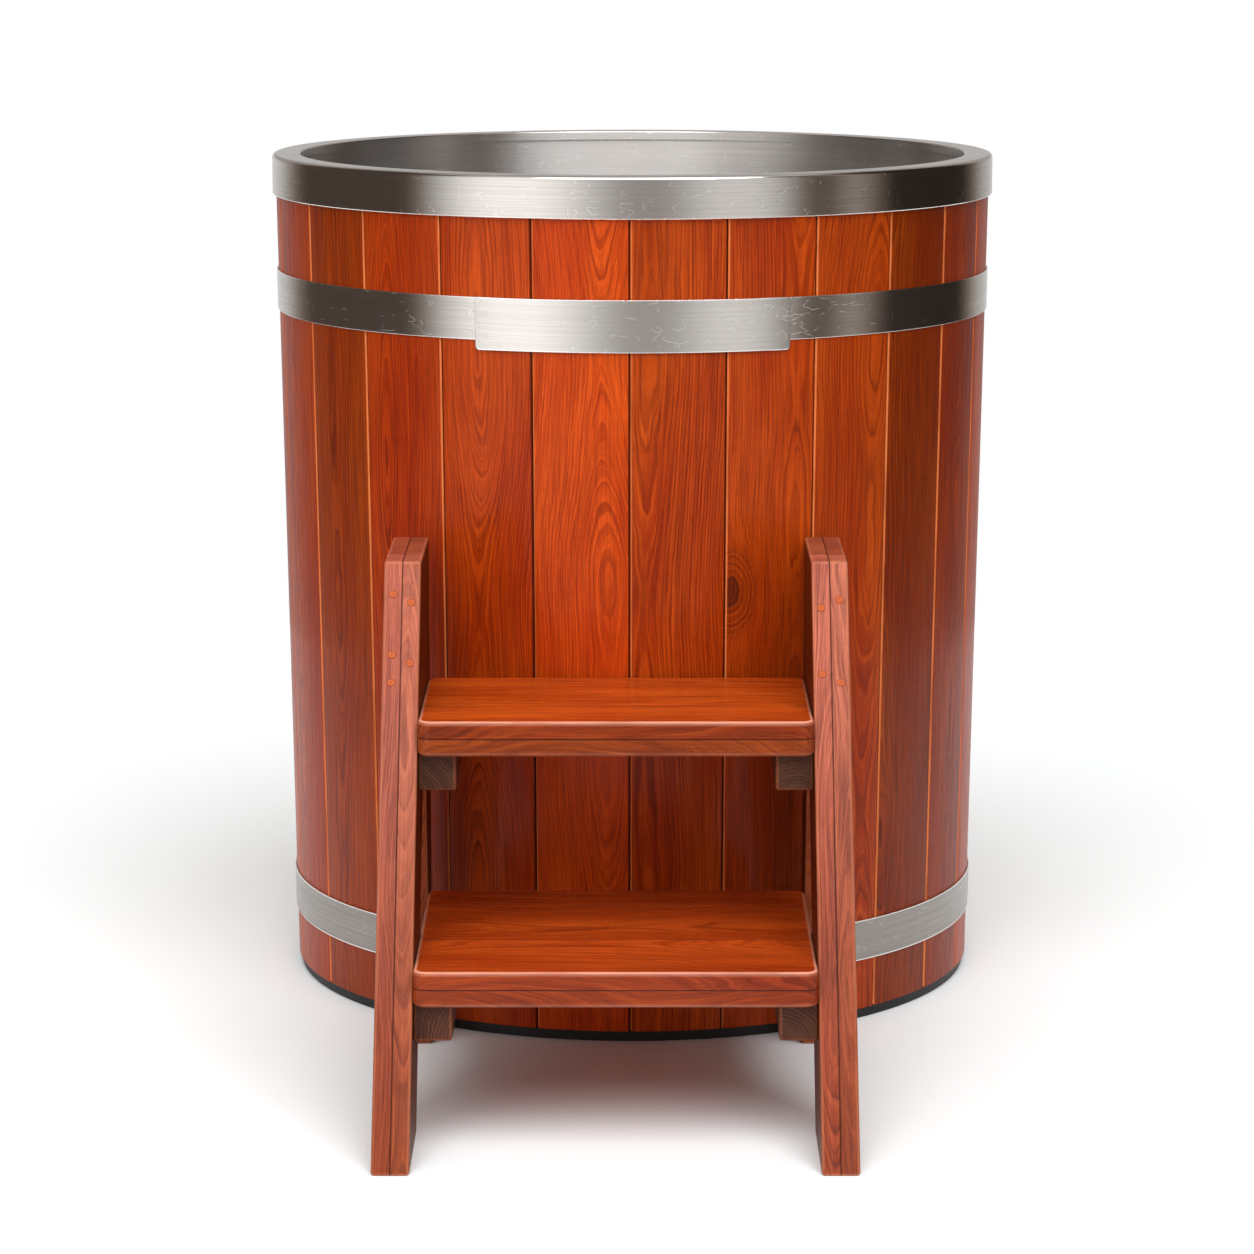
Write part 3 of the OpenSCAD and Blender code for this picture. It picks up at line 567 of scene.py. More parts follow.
stave_varnish = varnished_wood(
    "stave_varnish", stave_pale, stave_rich, stave_dark, stave_highlight, ring_gap=0.0038,
    knots=stave_knots, grooved=True, roughness=0.3, gloss=0.10, coat=0.12, wear_and_highlight=0.85)
for number in range(1, stave_count + 1):
    start, end = joint_angle(number - 1), joint_angle(number)
    middle, half = (start + end) / 2, math.radians(end - start) / 2
    half_width = half * stave_r
    stave = block(
        f"stave_board_{number:02d}", (-half_width, 0, wood_foot), (half_width, stave_t, wood_top))
    edges_where(stave, lambda a, b: (
        max(a.y, b.y) < stave_t / 2 and abs(a.z - b.z) > (wood_top - wood_foot) / 2))
    bpy.ops.mesh.bevel(offset=stave_ease, segments=3, profile=0.4)
    for cut_z in (wood_foot + stave_end, wood_top - stave_end):
        bpy.ops.mesh.select_all(action="SELECT")
        bpy.ops.mesh.bisect(plane_co=(0, 0, cut_z), plane_no=(0, 0, 1), threshold=cut_slack)
    edges_where(stave, lambda a, b: abs(a.x - b.x) > half_width)
    bpy.ops.mesh.subdivide(number_cuts=stave_cuts)
    bpy.ops.object.mode_set(mode="OBJECT")
    chance = (number * stave_tone_step % stave_count) / stave_count
    stave_tone_and_shading = stave_tones_and_shading.get(number, stave_tone_low + stave_tone_span * chance)
    # Which eased edges of this board face the light and get the painted highlight.
    left_highlight = (start + 180) % 360 - 180 > highlight_bearing
    right_highlight = (end + 180) % 360 - 180 < highlight_bearing
    mark_grain(
        stave, number, lambda place: place.copy(), lambda place: stave_tone_and_shading,
        lambda place: float(left_highlight if place.x < 0 else right_highlight))

    def round_the_wall(place):
        angle = math.radians(middle) + place.x / stave_r
        return round_the_tub(angle, wall_radius(place.z) - place.y, place.z)

    bent(stave, round_the_wall)
    shaded(stave)
    fit_out(stave, stave_varnish, "tub", "stave_wood", f"stave_{number:02d}")


# Liner: a round tank of thin stainless sheet, welded from a rolled wall and a pressed
# floor with a soft corner. It hangs in the staves on foam, and has a satin brushed face.
liner_low, liner_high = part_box("liner")
liner_sheet = 0.0015
liner_behind = 0.029
liner_round = 0.030
liner_drain_r = 0.0292
liner_steps = 10
liner_lean = math.atan(wall_taper / (wood_top - wood_foot))
liner_bright = (0.73, 0.705, 0.685, 1)
liner_dull = (0.64, 0.615, 0.595, 1)

# The steel's marks: lines of the brush, places dulled by hands, stray hooked scratches, painted
# highlights along edges and spot welds. Patches are to the metre, the other lengths in metres.
line_share = 0.7
coarse_along = 0.7
coarse_across = 0.25
hand_patches = (9, 9, 9)
hand_rough = 0.10
hook_patches = (38, 38, 85)
hook_detail = 1.6
hook_line = (0.004, 0.022)
hook_places = (41, 41, 60)
hook_kept = (0.53, 0.58)
hook_pale = (0.90, 0.88, 0.86, 1)
# Pale colour of the painted highlights along edges and of the weld brims.
weld_and_highlight_pale = (0.95, 0.94, 0.93, 1)
highlight_line = (0.0011, 0.0019)
weld_r = 0.0075
weld_soft = 0.0015
steel_relief = 0.00008


def steel(name, bright, dull, roughness, fine, brush=3, scratch=0.35, drawn=0.6,
          highlit_edges=(), welds=()):
    """Brushed stainless steel with handling marks and stray hooked scratches. fine and brush are the
    brush lines' patches to the metre across and along them. A painted highlight runs along edges at
    the heights in highlit_edges, and the steel is dulled in discs at the welds' places, each with a
    pale brim."""
    material, tree, shader = finish(name, metallic=1.0, anisotropic=drawn, anisotropic_rotation=0.25)
    place = own_place(tree)
    split = split_up(tree, place)
    level = maths(tree, "ADD", slant_length(tree, split[0], split[1]), split[2])
    line_place = shader_node(
        tree, "ShaderNodeCombineXYZ", {0: split[0], 1: split[1], 2: level}).outputs[0]
    lines = cloud(tree, line_place, (brush, brush, fine), 3)
    coarse_brush = brush * coarse_along
    coarse = cloud(tree, line_place, (coarse_brush, coarse_brush, fine * coarse_across), 2)
    handled = cloud(tree, place, hand_patches, 3)
    hook = cloud(tree, place, hook_patches, hook_detail)
    hook = maths(tree, "ABSOLUTE", maths(tree, "SUBTRACT", hook, 0.5))
    hook = maths(
        tree, "MULTIPLY", fade(tree, hook, *hook_line, 1, 0),
        fade(tree, cloud(tree, place, hook_places, 1), *hook_kept))
    share = maths(
        tree, "MULTIPLY_ADD", coarse, 1 - line_share, maths(tree, "MULTIPLY", lines, line_share))
    colour = mixed(tree, fade(tree, share, 0.32, 0.68), bright, dull)
    colour = covered(tree, colour, (hook, scratch, hook_pale))
    rough = fade(tree, lines, 0.25, 0.75, roughness - 0.03, roughness + 0.04)
    rough = maths(tree, "ADD", rough, maths(tree, "MULTIPLY_ADD", handled, hand_rough, -hand_rough / 2))
    height = maths(tree, "MULTIPLY_ADD", hook, -0.8, maths(tree, "MULTIPLY", lines, 0.4))
    # A painted highlight along each edge given.
    for edge in highlit_edges:
        away = maths(tree, "ABSOLUTE", maths(tree, "SUBTRACT", split[2], edge))
        colour = mixed(tree, fade(tree, away, *highlight_line, 1, 0), colour, weld_and_highlight_pale)
    for spot in welds:
        away = vectors(tree, "DISTANCE", place, spot, "Value")
        disc = fade(tree, away, weld_r - weld_soft, weld_r, 1, 0)
        brim = maths(tree, "MULTIPLY", disc, maths(tree, "MULTIPLY_ADD", disc, -4.0, 4.0))
        colour = covered(tree, colour, (brim, 0.25, weld_and_highlight_pale))
        rough = maths(tree, "MULTIPLY_ADD", disc, 0.06, rough)
        height = maths(tree, "MULTIPLY_ADD", brim, 0.8, height)
    round_way = vectors(tree, "CROSS_PRODUCT", (0.0, 0.0, 1.0), place)
    round_way = shader_node(
        tree, "ShaderNodeVectorTransform", {0: round_way},
        convert_from="OBJECT", convert_to="WORLD").outputs[0]
    tree.links.new(round_way, shader.inputs["Tangent"])
    wire(tree, shader, colour, rough, height, steel_relief)
    return material


def arc(centre, radius, start, end, steps):
    """Points of (radius, height) along an arc, with its angles in degrees."""
    points = []
    for step in range(steps + 1):
        angle = math.radians(start + (end - start) * step / steps)
        points.append((centre[0] + radius * math.cos(angle), centre[1] + radius * math.sin(angle)))
    return points


liner_wall = wall_radius(liner_low.z) - liner_behind
corner_place = (liner_wall - liner_round, liner_low.z + liner_round)
corner_end = -math.degrees(liner_lean)
liner_top_r = wall_radius(liner_high.z) - liner_behind
liner = turned("liner_tank", [
    (liner_drain_r, liner_low.z),
    *arc(corner_place, liner_round, -90, corner_end, liner_steps),
    (liner_top_r, liner_high.z), (liner_top_r - liner_sheet, liner_high.z),
    *reversed(arc(corner_place, liner_round - liner_sheet, -90, corner_end, liner_steps)),
    (liner_drain_r, liner_low.z + liner_sheet), (liner_drain_r, liner_low.z),
])
liner_steel = steel(
    "liner_steel", liner_bright, liner_dull, 0.34, fine=420.0, scratch=0.5, drawn=1.0)
fit_out(liner, liner_steel, "tub", "liner_steel", "liner")


# Rim: one ring of 2 mm stainless over the staves' end grain, with a rolled outer edge, a
# 52 mm skirt outside and a short lip inside. The skirt is brushed, the lip like the liner.
rim_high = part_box("rim_ring")[1]
rim_r = rim_high.x
rim_sheet = 0.002
rim_skirt = 0.052
rim_round = 0.005
rim_lip_r = 0.4383
rim_lip = 0.012
rim_lip_round = 0.0018
rim_hem = 0.0009
rim_bright = (0.67, 0.645, 0.62, 1)
rim_dull = (0.58, 0.555, 0.53, 1)
lip_upright = 0.3

rim_out = (rim_r - rim_round, rim_high.z - rim_round)
lip_in = (rim_lip_r + rim_lip_round, rim_high.z - rim_lip_round)
skirt_foot = rim_high.z - rim_skirt
rim = turned("rim_cap", [
    (rim_r - rim_sheet + rim_hem, skirt_foot), (rim_r - rim_hem, skirt_foot),
    (rim_r, skirt_foot + rim_hem),
    *arc(rim_out, rim_round, 0, 90, 7),
    *arc(lip_in, rim_lip_round, 90, 180, 4),
    (rim_lip_r, rim_high.z - rim_lip), (rim_lip_r + rim_sheet, rim_high.z - rim_lip),
    (rim_lip_r + rim_sheet, rim_high.z - rim_sheet), (rim_r - rim_round, rim_high.z - rim_sheet),
    *reversed(arc(rim_out, rim_round - rim_sheet, 0, 90, 4)),
    (rim_r - rim_sheet, skirt_foot + rim_hem), (rim_r - rim_sheet + rim_hem, skirt_foot),
], steps=240)
# A painted highlight along the skirt's lower edge.
rim_steel = steel(
    "rim_steel", rim_bright, rim_dull, 0.13, fine=800.0, scratch=0.3, highlit_edges=(skirt_foot,))
fit_out(rim, rim_steel, "tub", "rim_steel", "rim_ring")
rim.data.materials.append(liner_steel)
for face in rim.data.polygons:
    if face.center.xy.length < rim_lip_r + rim_hem and abs(face.normal.z) < lip_upright:
        face.material_index = 1


# Hoops: two flat stainless bands drawn tight round the staves. Each ends at the back in
# two welded lugs that its bolt pulls together. Band edges are deburred.
hoop_t = 0.002
hoop_clear = 0.0002
hoop_cuts = 219
hoop_deburr = 0.0009
hoop_joint = 195.39
lug_gap = 0.022
lug_t = 0.005
lug_reach = 0.034
lug_edge = 0.006
lug_ease = 0.0012

# Each hoop's bright and dull colour, its roughness and how much its scratches show. The lower
# hoop's far darker greys are painted shade.
hoop_greys_and_shade = {
    "upper_hoop": ((0.72, 0.69, 0.66, 1), (0.63, 0.60, 0.57, 1), 0.15, 0.3),
    "lower_hoop": ((0.34, 0.31, 0.285, 1), (0.28, 0.255, 0.235, 1), 0.28, 0.12),
}


def joined(pieces):
    """Makes one piece of several, under the name of the first."""
    chosen(pieces[0])
    for piece in pieces[1:]:
        piece.select_set(True)
    bpy.ops.object.join()


for hoop_name, (hoop_bright, hoop_dull, hoop_rough, hoop_scratch) in hoop_greys_and_shade.items():
    hoop_low, hoop_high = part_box(hoop_name)
    # A painted highlight along both edges of the band.
    hoop_steel = steel(
        hoop_name + "_steel", hoop_bright, hoop_dull, hoop_rough, fine=650.0, scratch=hoop_scratch,
        highlit_edges=(hoop_low.z, hoop_high.z))
    gap_angle = math.asin(lug_gap / 2 / wall_radius(hoop_low.z))
    half_length = (math.pi - gap_angle) * stave_r
    hoop = block(
        hoop_name + "_band", (-half_length, -hoop_t, hoop_low.z), (half_length, 0, hoop_high.z))
    edges_where(hoop, lambda a, b: abs(a.x - b.x) > half_length)
    bpy.ops.mesh.bevel(offset=hoop_deburr, segments=2)
    edges_where(hoop, lambda a, b: abs(a.x - b.x) > half_length)
    bpy.ops.mesh.subdivide(number_cuts=hoop_cuts)
    bpy.ops.object.mode_set(mode="OBJECT")

    def round_the_staves(place):
        angle = math.radians(hoop_joint - 180) + place.x / stave_r
        return round_the_tub(angle, wall_radius(place.z) + hoop_clear - place.y, place.z)

    bent(hoop, round_the_staves)
    lug_start = wall_radius(hoop_high.z) + hoop_clear
    hoop_parts = [hoop]
    for side in (-1, 1):
        lug_middle = side * (lug_gap + lug_t) / 2
        lug = block(
            "lug", (lug_start, lug_middle - lug_t / 2, hoop_low.z + lug_edge),
            (lug_start + lug_reach, lug_middle + lug_t / 2, hoop_high.z - lug_edge))
        edges_where(lug, lambda a, b: True)
        bpy.ops.mesh.bevel(offset=lug_ease, segments=3)
        bpy.ops.object.mode_set(mode="OBJECT")
        lug.data.transform(Matrix.Rotation(math.radians(hoop_joint - 90), 4, "Z"))
        hoop_parts.append(lug)
    joined(hoop_parts)
    shaded(hoop)
    fit_out(hoop, hoop_steel, "tub", "hoop_steel", hoop_name)


# Front plate: a bare curved stainless plate over the front of the upper hoop, with small
# round corners and a bevelled edge. It is spot-welded near both ends.
plate_low, plate_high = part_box("name_plate")
plate_t = 0.0015
plate_behind = 0.0024
plate_span = 48.6
plate_corner = 0.005
plate_bevel = 0.0009
plate_cuts = 39
plate_feather = 0.09
plate_tip = 0.1
plate_bright = (0.71, 0.685, 0.66, 1)
plate_dull = (0.63, 0.605, 0.58, 1)
weld_in = 0.011
weld_drops = (0.020, 0.048)

plate_half_width = math.radians(plate_span / 2) * stave_r
plate = block(
    "front_plate", (-plate_half_width, -plate_t, plate_low.z), (plate_half_width, 0, plate_high.z))
edges_where(plate, lambda a, b: abs(a.y - b.y) > plate_t / 2)
bpy.ops.mesh.bevel(offset=plate_corner, segments=6)
edges_where(plate, lambda a, b: max(a.y, b.y) < -plate_t / 2)
bpy.ops.mesh.bevel(offset=plate_bevel, segments=2)
for cut in range(1, plate_cuts + 1):
    cut_x = plate_half_width * (2 * cut / (plate_cuts + 1) - 1)
    bpy.ops.mesh.select_all(action="SELECT")
    bpy.ops.mesh.bisect(plane_co=(cut_x, 0, 0), plane_no=(1, 0, 0), threshold=cut_slack)
bpy.ops.object.mode_set(mode="OBJECT")


def over_the_hoop(place):
    """The flat plate's point, bent round the upper hoop. Its ends are ground down to the hoop."""
    angle = place.x / stave_r
    ground = min(1.0, plate_tip + (plate_half_width - abs(place.x)) / plate_feather)
    radius = wall_radius(place.z) + plate_behind - place.y * ground
    return round_the_tub(angle, radius, place.z)


bent(plate, over_the_hoop)
shaded(plate)
plate_welds = [
    over_the_hoop(Vector((side * (plate_half_width - weld_in), -plate_t, plate_high.z - down)))
    for side in (-1, 1) for down in weld_drops]
# A painted highlight along the plate's top and bottom edges.
plate_steel = steel(
    "plate_steel", plate_bright, plate_dull, 0.17, fine=900.0, scratch=0.2,
    highlit_edges=(plate_low.z, plate_high.z), welds=plate_welds)
fit_out(plate, plate_steel, "tub", "plate_steel", "name_plate")


# Hoop bolts and nuts, drain and valve: stock parts, turned, cast and pressed. Each is a
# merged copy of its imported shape, shaded as a smooth surface between its real edges.
flat_angle = math.radians(0.4)
edge_angle = math.radians(40)
brass_bright = (0.62, 0.44, 0.17, 1)
brass_dull = (0.36, 0.24, 0.09, 1)
brass_grain = (700, 700, 700)
brass_patches = (40, 40, 40)
brass_relief = 0.00015
coat_red = (0.48, 0.025, 0.015, 1)
coat_rubbed = (0.36, 0.022, 0.015, 1)
coat_patches = (60, 60, 60)
coat_dimples = (400, 400, 400)
coat_relief = 0.0002
fastener_bright = (0.66, 0.65, 0.64, 1)
fastener_dull = (0.50, 0.49, 0.48, 1)
drain_bright = (0.62, 0.61, 0.60, 1)
drain_dull = (0.46, 0.45, 0.44, 1)
pipe_colour = (0.018, 0.018, 0.018, 1)
pipe_rubbed = (0.035, 0.034, 0.033, 1)
seal_colour = (0.012, 0.012, 0.012, 1)
seal_rubbed = (0.02, 0.02, 0.02, 1)


def finished_copy(name, node, ease=0.0):
    """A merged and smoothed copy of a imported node, with its sharp edges eased by a width."""
    piece = bpy.data.objects.new(name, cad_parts[node].data.copy())
    bpy.context.scene.collection.objects.link(piece)
    opened(piece)
    bpy.ops.mesh.remove_doubles(threshold=cut_slack)
    bpy.ops.mesh.dissolve_limited(angle_limit=flat_angle)
    bpy.ops.object.mode_set(mode="OBJECT")
    if ease:
        bevel = piece.modifiers.new("ease", "BEVEL")
        bevel.width = ease
        bevel.segments = 2
        bevel.limit_method = "ANGLE"
        bevel.angle_limit = edge_angle
        bpy.ops.object.modifier_apply(modifier="ease")
    return shaded(piece)


def cast_brass(name):
    """Cast and machined brass, a little dull in patches."""
    material, tree, shader = finish(name, metallic=1.0)
    place = own_place(tree)
    grain = cloud(tree, place, brass_grain)
    dull = fade(tree, cloud(tree, place, brass_patches, 3), 0.4, 0.7)
    rough = fade(tree, dull, 0, 1, 0.28, 0.45)
    wire(tree, shader, mixed(tree, dull, brass_bright, brass_dull), rough, grain, brass_relief)
    return material


def dipped_coat(name):
    """Thick red plastic dip on a steel lever, rubbed duller where a hand takes it."""
    material, tree, shader = finish(name, coat_weight=0.5, coat_roughness=0.15)
    place = own_place(tree)
    rub_and_highlight = fade(tree, cloud(tree, place, coat_patches, 3), 0.45, 0.7)
    dimples = cloud(tree, place, coat_dimples, 1)
    rough = fade(tree, rub_and_highlight, 0, 1, 0.35, 0.55)
    wire(tree, shader, mixed(tree, rub_and_highlight, coat_red, coat_rubbed), rough, dimples, coat_relief)
    return material


fastener_steel = steel(
    "fastener_steel", fastener_bright, fastener_dull, 0.28, fine=400.0, brush=60, drawn=0.0)
drain_steel = steel("drain_steel", drain_bright, drain_dull, 0.25, fine=500.0)
pipe_black = moulded_plastic("pipe_black", pipe_colour, pipe_rubbed, 0.38)
seal_black = moulded_plastic("seal_black", seal_colour, seal_rubbed, 0.7)
brass = cast_brass("valve_brass")
lever_red = dipped_coat("lever_red")

# Each fitting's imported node, body, material and slot, and the width of its eased edges.
fittings = [
    ("hoop_bolts", "tub", fastener_steel, "fastener_steel", 0.0004),
    ("hoop_nuts", "tub", fastener_steel, "fastener_steel", 0.0004),
    ("drain_flange", "tub", drain_steel, "drain_steel", 0.0004),
    ("drain_strainer", "tub", drain_steel, "drain_steel", 0.0),
    ("drain_locknut", "tub", pipe_black, "black_plastic", 0.0004),
    ("drain_gasket", "tub", seal_black, "seal_rubber", 0.0),
    ("drain_pipe", "tub", pipe_black, "black_plastic", 0.0),
    ("valve_body", "tub", brass, "valve_brass", 0.0005),
    ("valve_ball", "lever", fastener_steel, "fastener_steel", 0.0),
    ("valve_stem", "lever", brass, "valve_brass", 0.0003),
    ("valve_lever", "lever", lever_red, "lever_red", 0.0012),
    ("lever_nut", "lever", fastener_steel, "fastener_steel", 0.0003),
    ("hose_tail", "tub", brass, "valve_brass", 0.0004),
]
for node, body, material, slot, ease in fittings:
    fit_out(finished_copy(node + "_made", node, ease), material, body, slot, node)


# Stool side frames: two sloping legs and two upright posts. Each is two 22 mm boards glued
# face to face, with eased edges, stained like the tub under a duller varnish.
timber_t = 0.044
timber_w = 0.138
timber_ease = 0.004
joint_ease = 0.0004
hair = 0.0001
sharp_angle = math.radians(25)
frame_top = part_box("left_leg")[1].z
leg_foot_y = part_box("left_leg")[0].y
post_front_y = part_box("left_post")[0].y
post_back_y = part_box("left_post")[1].y
leg_run = 0.394
post_foot = 0.046
leg_lean = math.atan2(leg_run, frame_top)
join_height = (post_front_y - leg_foot_y - timber_w / math.cos(leg_lean)) * frame_top / leg_run
joint_above = 0.01
layer_w = 0.03  # more than a board, so that only the glue line lies on a seam
leg_board = 31
post_board = 33
# Painted light and shade on the side frames: legs darker at the foot and lighter towards the top, inner
# faces in shade, posts lighter on top.
leg_foot_shade = 0.66
leg_top_light = (1.24, 1.11)
inner_shade = 0.30
inner_face = timber_t / 2 - joint_ease
post_shaded_tone = 0.75
post_top_light = 0.92
stool_pale = (0.46, 0.074, 0.013, 1)
stool_rich = (0.30, 0.041, 0.008, 1)
stool_dark = (0.085, 0.014, 0.006, 1)
# Colour of the stool's paler eased edges: partly wear, partly a painted highlight.
stool_wear_and_highlight = (0.75, 0.28, 0.15, 1)


def cut_off(piece, point, outward):
    """Saws off what lies beyond a plane and closes the cut."""
    opened(piece)
    bpy.ops.mesh.bisect(
        plane_co=point, plane_no=outward, use_fill=True, clear_outer=True, threshold=cut_slack)
    bpy.ops.object.mode_set(mode="OBJECT")


def ease_edges(piece, width, slight=None, segments=4):
    """Rounds the sharp edges. Where slight(first corner, second corner) holds, only a little."""
    shape = bmesh.new()
    shape.from_mesh(piece.data)
    weights = shape.edges.layers.float.new("bevel_weight_edge")
    for edge in shape.edges:
        if edge.is_manifold and edge.calc_face_angle() > sharp_angle:
            a, b = edge.verts[0].co, edge.verts[1].co
            edge[weights] = joint_ease / width if slight and slight(a, b) else 1.0
    shape.to_mesh(piece.data)
    shape.free()
    bevel = piece.modifiers.new("ease", "BEVEL")
    bevel.width = width
    bevel.segments = segments
    bevel.limit_method = "WEIGHT"
    chosen(piece)
    bpy.ops.object.modifier_apply(modifier="ease")


stool_varnish = varnished_wood(
    "stool_varnish", stool_pale, stool_rich, stool_dark, stool_wear_and_highlight, ring_gap=0.0036,
    roughness=0.40, gloss=0.12, coat=0.04, wear_and_highlight=0.3, across=(layer_w, 0.0), sheen_saturation=0.88)
for number, side in enumerate(("left", "right")):
    low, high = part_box(side + "_leg")
    middle_x = (low.x + high.x) / 2
    inward = 1 - 2 * number
    turn = Matrix.Translation((middle_x, leg_foot_y, 0)) @ Matrix.Rotation(-leg_lean, 4, "X")
    leg = block(
        side + "_leg_board", (-timber_t / 2, 0, -timber_w), (timber_t / 2, timber_w, 2 * frame_top))
    leg.data.transform(turn)
    cut_off(leg, (0, 0, 0), (0, 0, -1))
    cut_off(leg, (0, 0, frame_top), (0, 0, 1))
    cut_off(leg, (0, post_front_y, 0), (0, 1, 0))
    ease_edges(leg, timber_ease, lambda a, b: min(a.y, b.y) > post_front_y - hair)
    back = turn.inverted()
    # Each leg's inner face is painted in shade, and its other faces painted darker at the foot and
    # lighter towards the top.
    mark_grain(
        leg, leg_board + number, lambda place: back @ place,
        lambda place: inner_shade if inward * place.x > inner_face else (
            leg_foot_shade + (leg_top_light[number] - leg_foot_shade) * place.z / frame_top))
    shaded(leg)
    fit_out(leg, stool_varnish, "steps", "stool_wood", side + "_leg")

    post = block(
        side + "_post_board", (low.x, post_front_y, 0), (high.x, post_back_y, frame_top))
    taper = Vector((0, -join_height, post_foot - timber_w)).normalized()
    cut_off(post, (0, post_back_y - post_foot, 0), taper)
    ease_edges(post, timber_ease, lambda a, b: (
        max(a.y, b.y) < post_front_y + hair and max(a.z, b.z) > join_height + joint_above))
    # Each post's inner face is painted in shade, its top painted lighter and its other faces a little
    # darker.
    mark_grain(
        post, post_board + number, lambda place: place - Vector((middle_x, post_front_y, 0)),
        lambda place: post_top_light if place.z > frame_top - timber_ease / 2 else (
            inner_shade if inward * place.x > inner_face else post_shaded_tone))
    shaded(post)
    fit_out(post, stool_varnish, "steps", "stool_wood", side + "_post")


# Plugs: round wooden plugs glued over the screws that hold leg and post together, and cut
# nearly flush with the sloping face. The glue line shows as a dark ring.
plug_r = 0.005
plug_proud = 0.0002
plug_rise = 0.0004
plug_edge = 0.12
plug_mark = 0.5
plug_pale = (0.62, 0.13, 0.025, 1)
plug_brown = (0.40, 0.07, 0.015, 1)
plug_heart = (0.20, 0.03, 0.010, 1)
plug_glue = (0.12, 0.02, 0.010, 1)
plug_patches = (9, 3, 1)
plug_centre = (0.5, 0.5, 0.0)
plug_heart_fade = (0.10, 0.19)
plug_glue_fade = (0.36, 0.44)

# Each plug: in the outer (-1) or the inner (1) board of its leg, and how far below the top.
left_plugs = [(-1, 0.036), (-1, 0.102), (-1, 0.132), (1, 0.045), (1, 0.111)]
right_plugs = [(-1, 0.042), (-1, 0.132), (1, 0.051), (1, 0.123)]

plug_wood, plug_tree, plug_shader = finish("plug_wood", specular_ior_level=0.15)
plug_place = shader_node(plug_tree, "ShaderNodeUVMap", uv_map="UVMap").outputs[0]
plug_away = vectors(plug_tree, "DISTANCE", plug_place, plug_centre, "Value")
plug_grain = cloud(plug_tree, plug_place, plug_patches, 3)
plug_colour = covered(
    plug_tree, mixed(plug_tree, plug_grain, plug_pale, plug_brown),
    (fade(plug_tree, plug_away, *plug_heart_fade, 1, 0), 0.35, plug_heart),
    (fade(plug_tree, plug_away, *plug_glue_fade), 0.5, plug_glue))
plug_rough = fade(plug_tree, plug_grain, 0.3, 0.7, 0.38, 0.5)
wire(plug_tree, plug_shader, plug_colour, plug_rough, plug_grain)

plugs = []
for side, rows in (("left", left_plugs), ("right", right_plugs)):
    low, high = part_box(side + "_leg")
    outward = -1 if side == "left" else 1
    for layer, drop in rows:
        plug_x = (low.x + high.x) / 2 - outward * layer * timber_t / 4
        plug_z = frame_top - drop
        plug_y = leg_foot_y + leg_run * plug_z / frame_top
        fresh()
        bpy.ops.mesh.primitive_circle_add(
            vertices=32, radius=plug_r, fill_type="NGON", calc_uvs=True)
        plug = bpy.context.object
        opened(plug)
        bpy.ops.mesh.extrude_region_move(TRANSFORM_OT_translate={"value": (0, 0, plug_rise)})
        bpy.ops.mesh.inset(thickness=plug_r * plug_edge, depth=plug_proud)
        bpy.ops.mesh.inset(thickness=plug_r * plug_mark)
        bpy.ops.object.mode_set(mode="OBJECT")
        facing = Matrix.Rotation(math.radians(90) - leg_lean, 4, "X")
        plug.data.transform(Matrix.Translation((plug_x, plug_y, plug_z)) @ facing)
        plugs.append(plug)
joined(plugs)
plugs[0].name = "frame_plugs"
shaded(plugs[0])
fit_out(plugs[0], plug_wood, "steps", "plug_wood", "leg_plugs")


# Treads: two thick boards, each glued up from narrower ones in two layers, with corners
# cut round and long edges rolled over. Stained like the tub under a gloss varnish.
tread_corner = 0.016
tread_roll = 0.0055
tread_t = 0.042
tread_board_w = 0.157
tread_shift = 0.30
tread_first_board = 51
tread_boards_apart = 7
tread_tones = (1.15, 1.0)
# Painted shade on the treads' front, back and ends, against their top and bottom.
tread_side_shade = 0.60
tread_flat = 0.0005
tread_highlight_band = 0.0016
tread_edge_highlight = 0.2
tread_pale = (0.56, 0.080, 0.008, 1)
tread_rich = (0.38, 0.038, 0.003, 1)
tread_dark = (0.10, 0.009, 0.002, 1)
# Colour of the painted highlight along the treads' rolled edges.
tread_highlight = (0.92, 0.42, 0.28, 1)

tread_varnish = varnished_wood(
    "tread_varnish", tread_pale, tread_rich, tread_dark, tread_highlight, ring_gap=0.0085,
    roughness=0.26, gloss=0.12, coat=0.28, wear_and_highlight=0.8, across=(tread_board_w, tread_shift),
    through=(layer_w, 0.0), tilt=0.8)
for number, name in enumerate(("upper_tread", "lower_tread")):
    low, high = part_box(name)
    tread = block(name + "_board", low, high)
    edges_where(tread, lambda a, b: abs(a.z - b.z) > tread_t / 2)
    bpy.ops.mesh.bevel(offset=tread_corner, segments=8)
    bpy.ops.object.mode_set(mode="OBJECT")
    ease_edges(tread, tread_roll, lambda a, b: abs(a.z - b.z) > tread_t / 2, segments=5)
    centre = (low + high) / 2

    def along_the_tread(place):
        return Vector((place.y - centre.y, place.z - centre.z, place.x - centre.x))

    # A painted highlight along the rolled top front edge, fainter on the other eased edges, and painted
    # shade on the front, back and ends.
    mark_grain(
        tread, tread_first_board + tread_boards_apart * number, along_the_tread,
        lambda place: (
            tread_tones[number] if abs(place.y) > tread_t / 2 - tread_flat else tread_side_shade),
        lambda place: (
            1.0 if place.x < 0 and place.y > tread_t / 2 - tread_highlight_band else tread_edge_highlight))
    shaded(tread)
    fit_out(tread, tread_varnish, "steps", "tread_wood", name)


# Bearers: square bars screwed to the side frames under the treads. They are dark stained,
# and their sawn ends show the rings.
bearer_ease = 0.004
bearer_board = 41
bearer_tone = 0.66
bearer_pale = (0.20, 0.062, 0.030, 1)
bearer_rich = (0.11, 0.034, 0.018, 1)
bearer_dark = (0.028, 0.010, 0.006, 1)
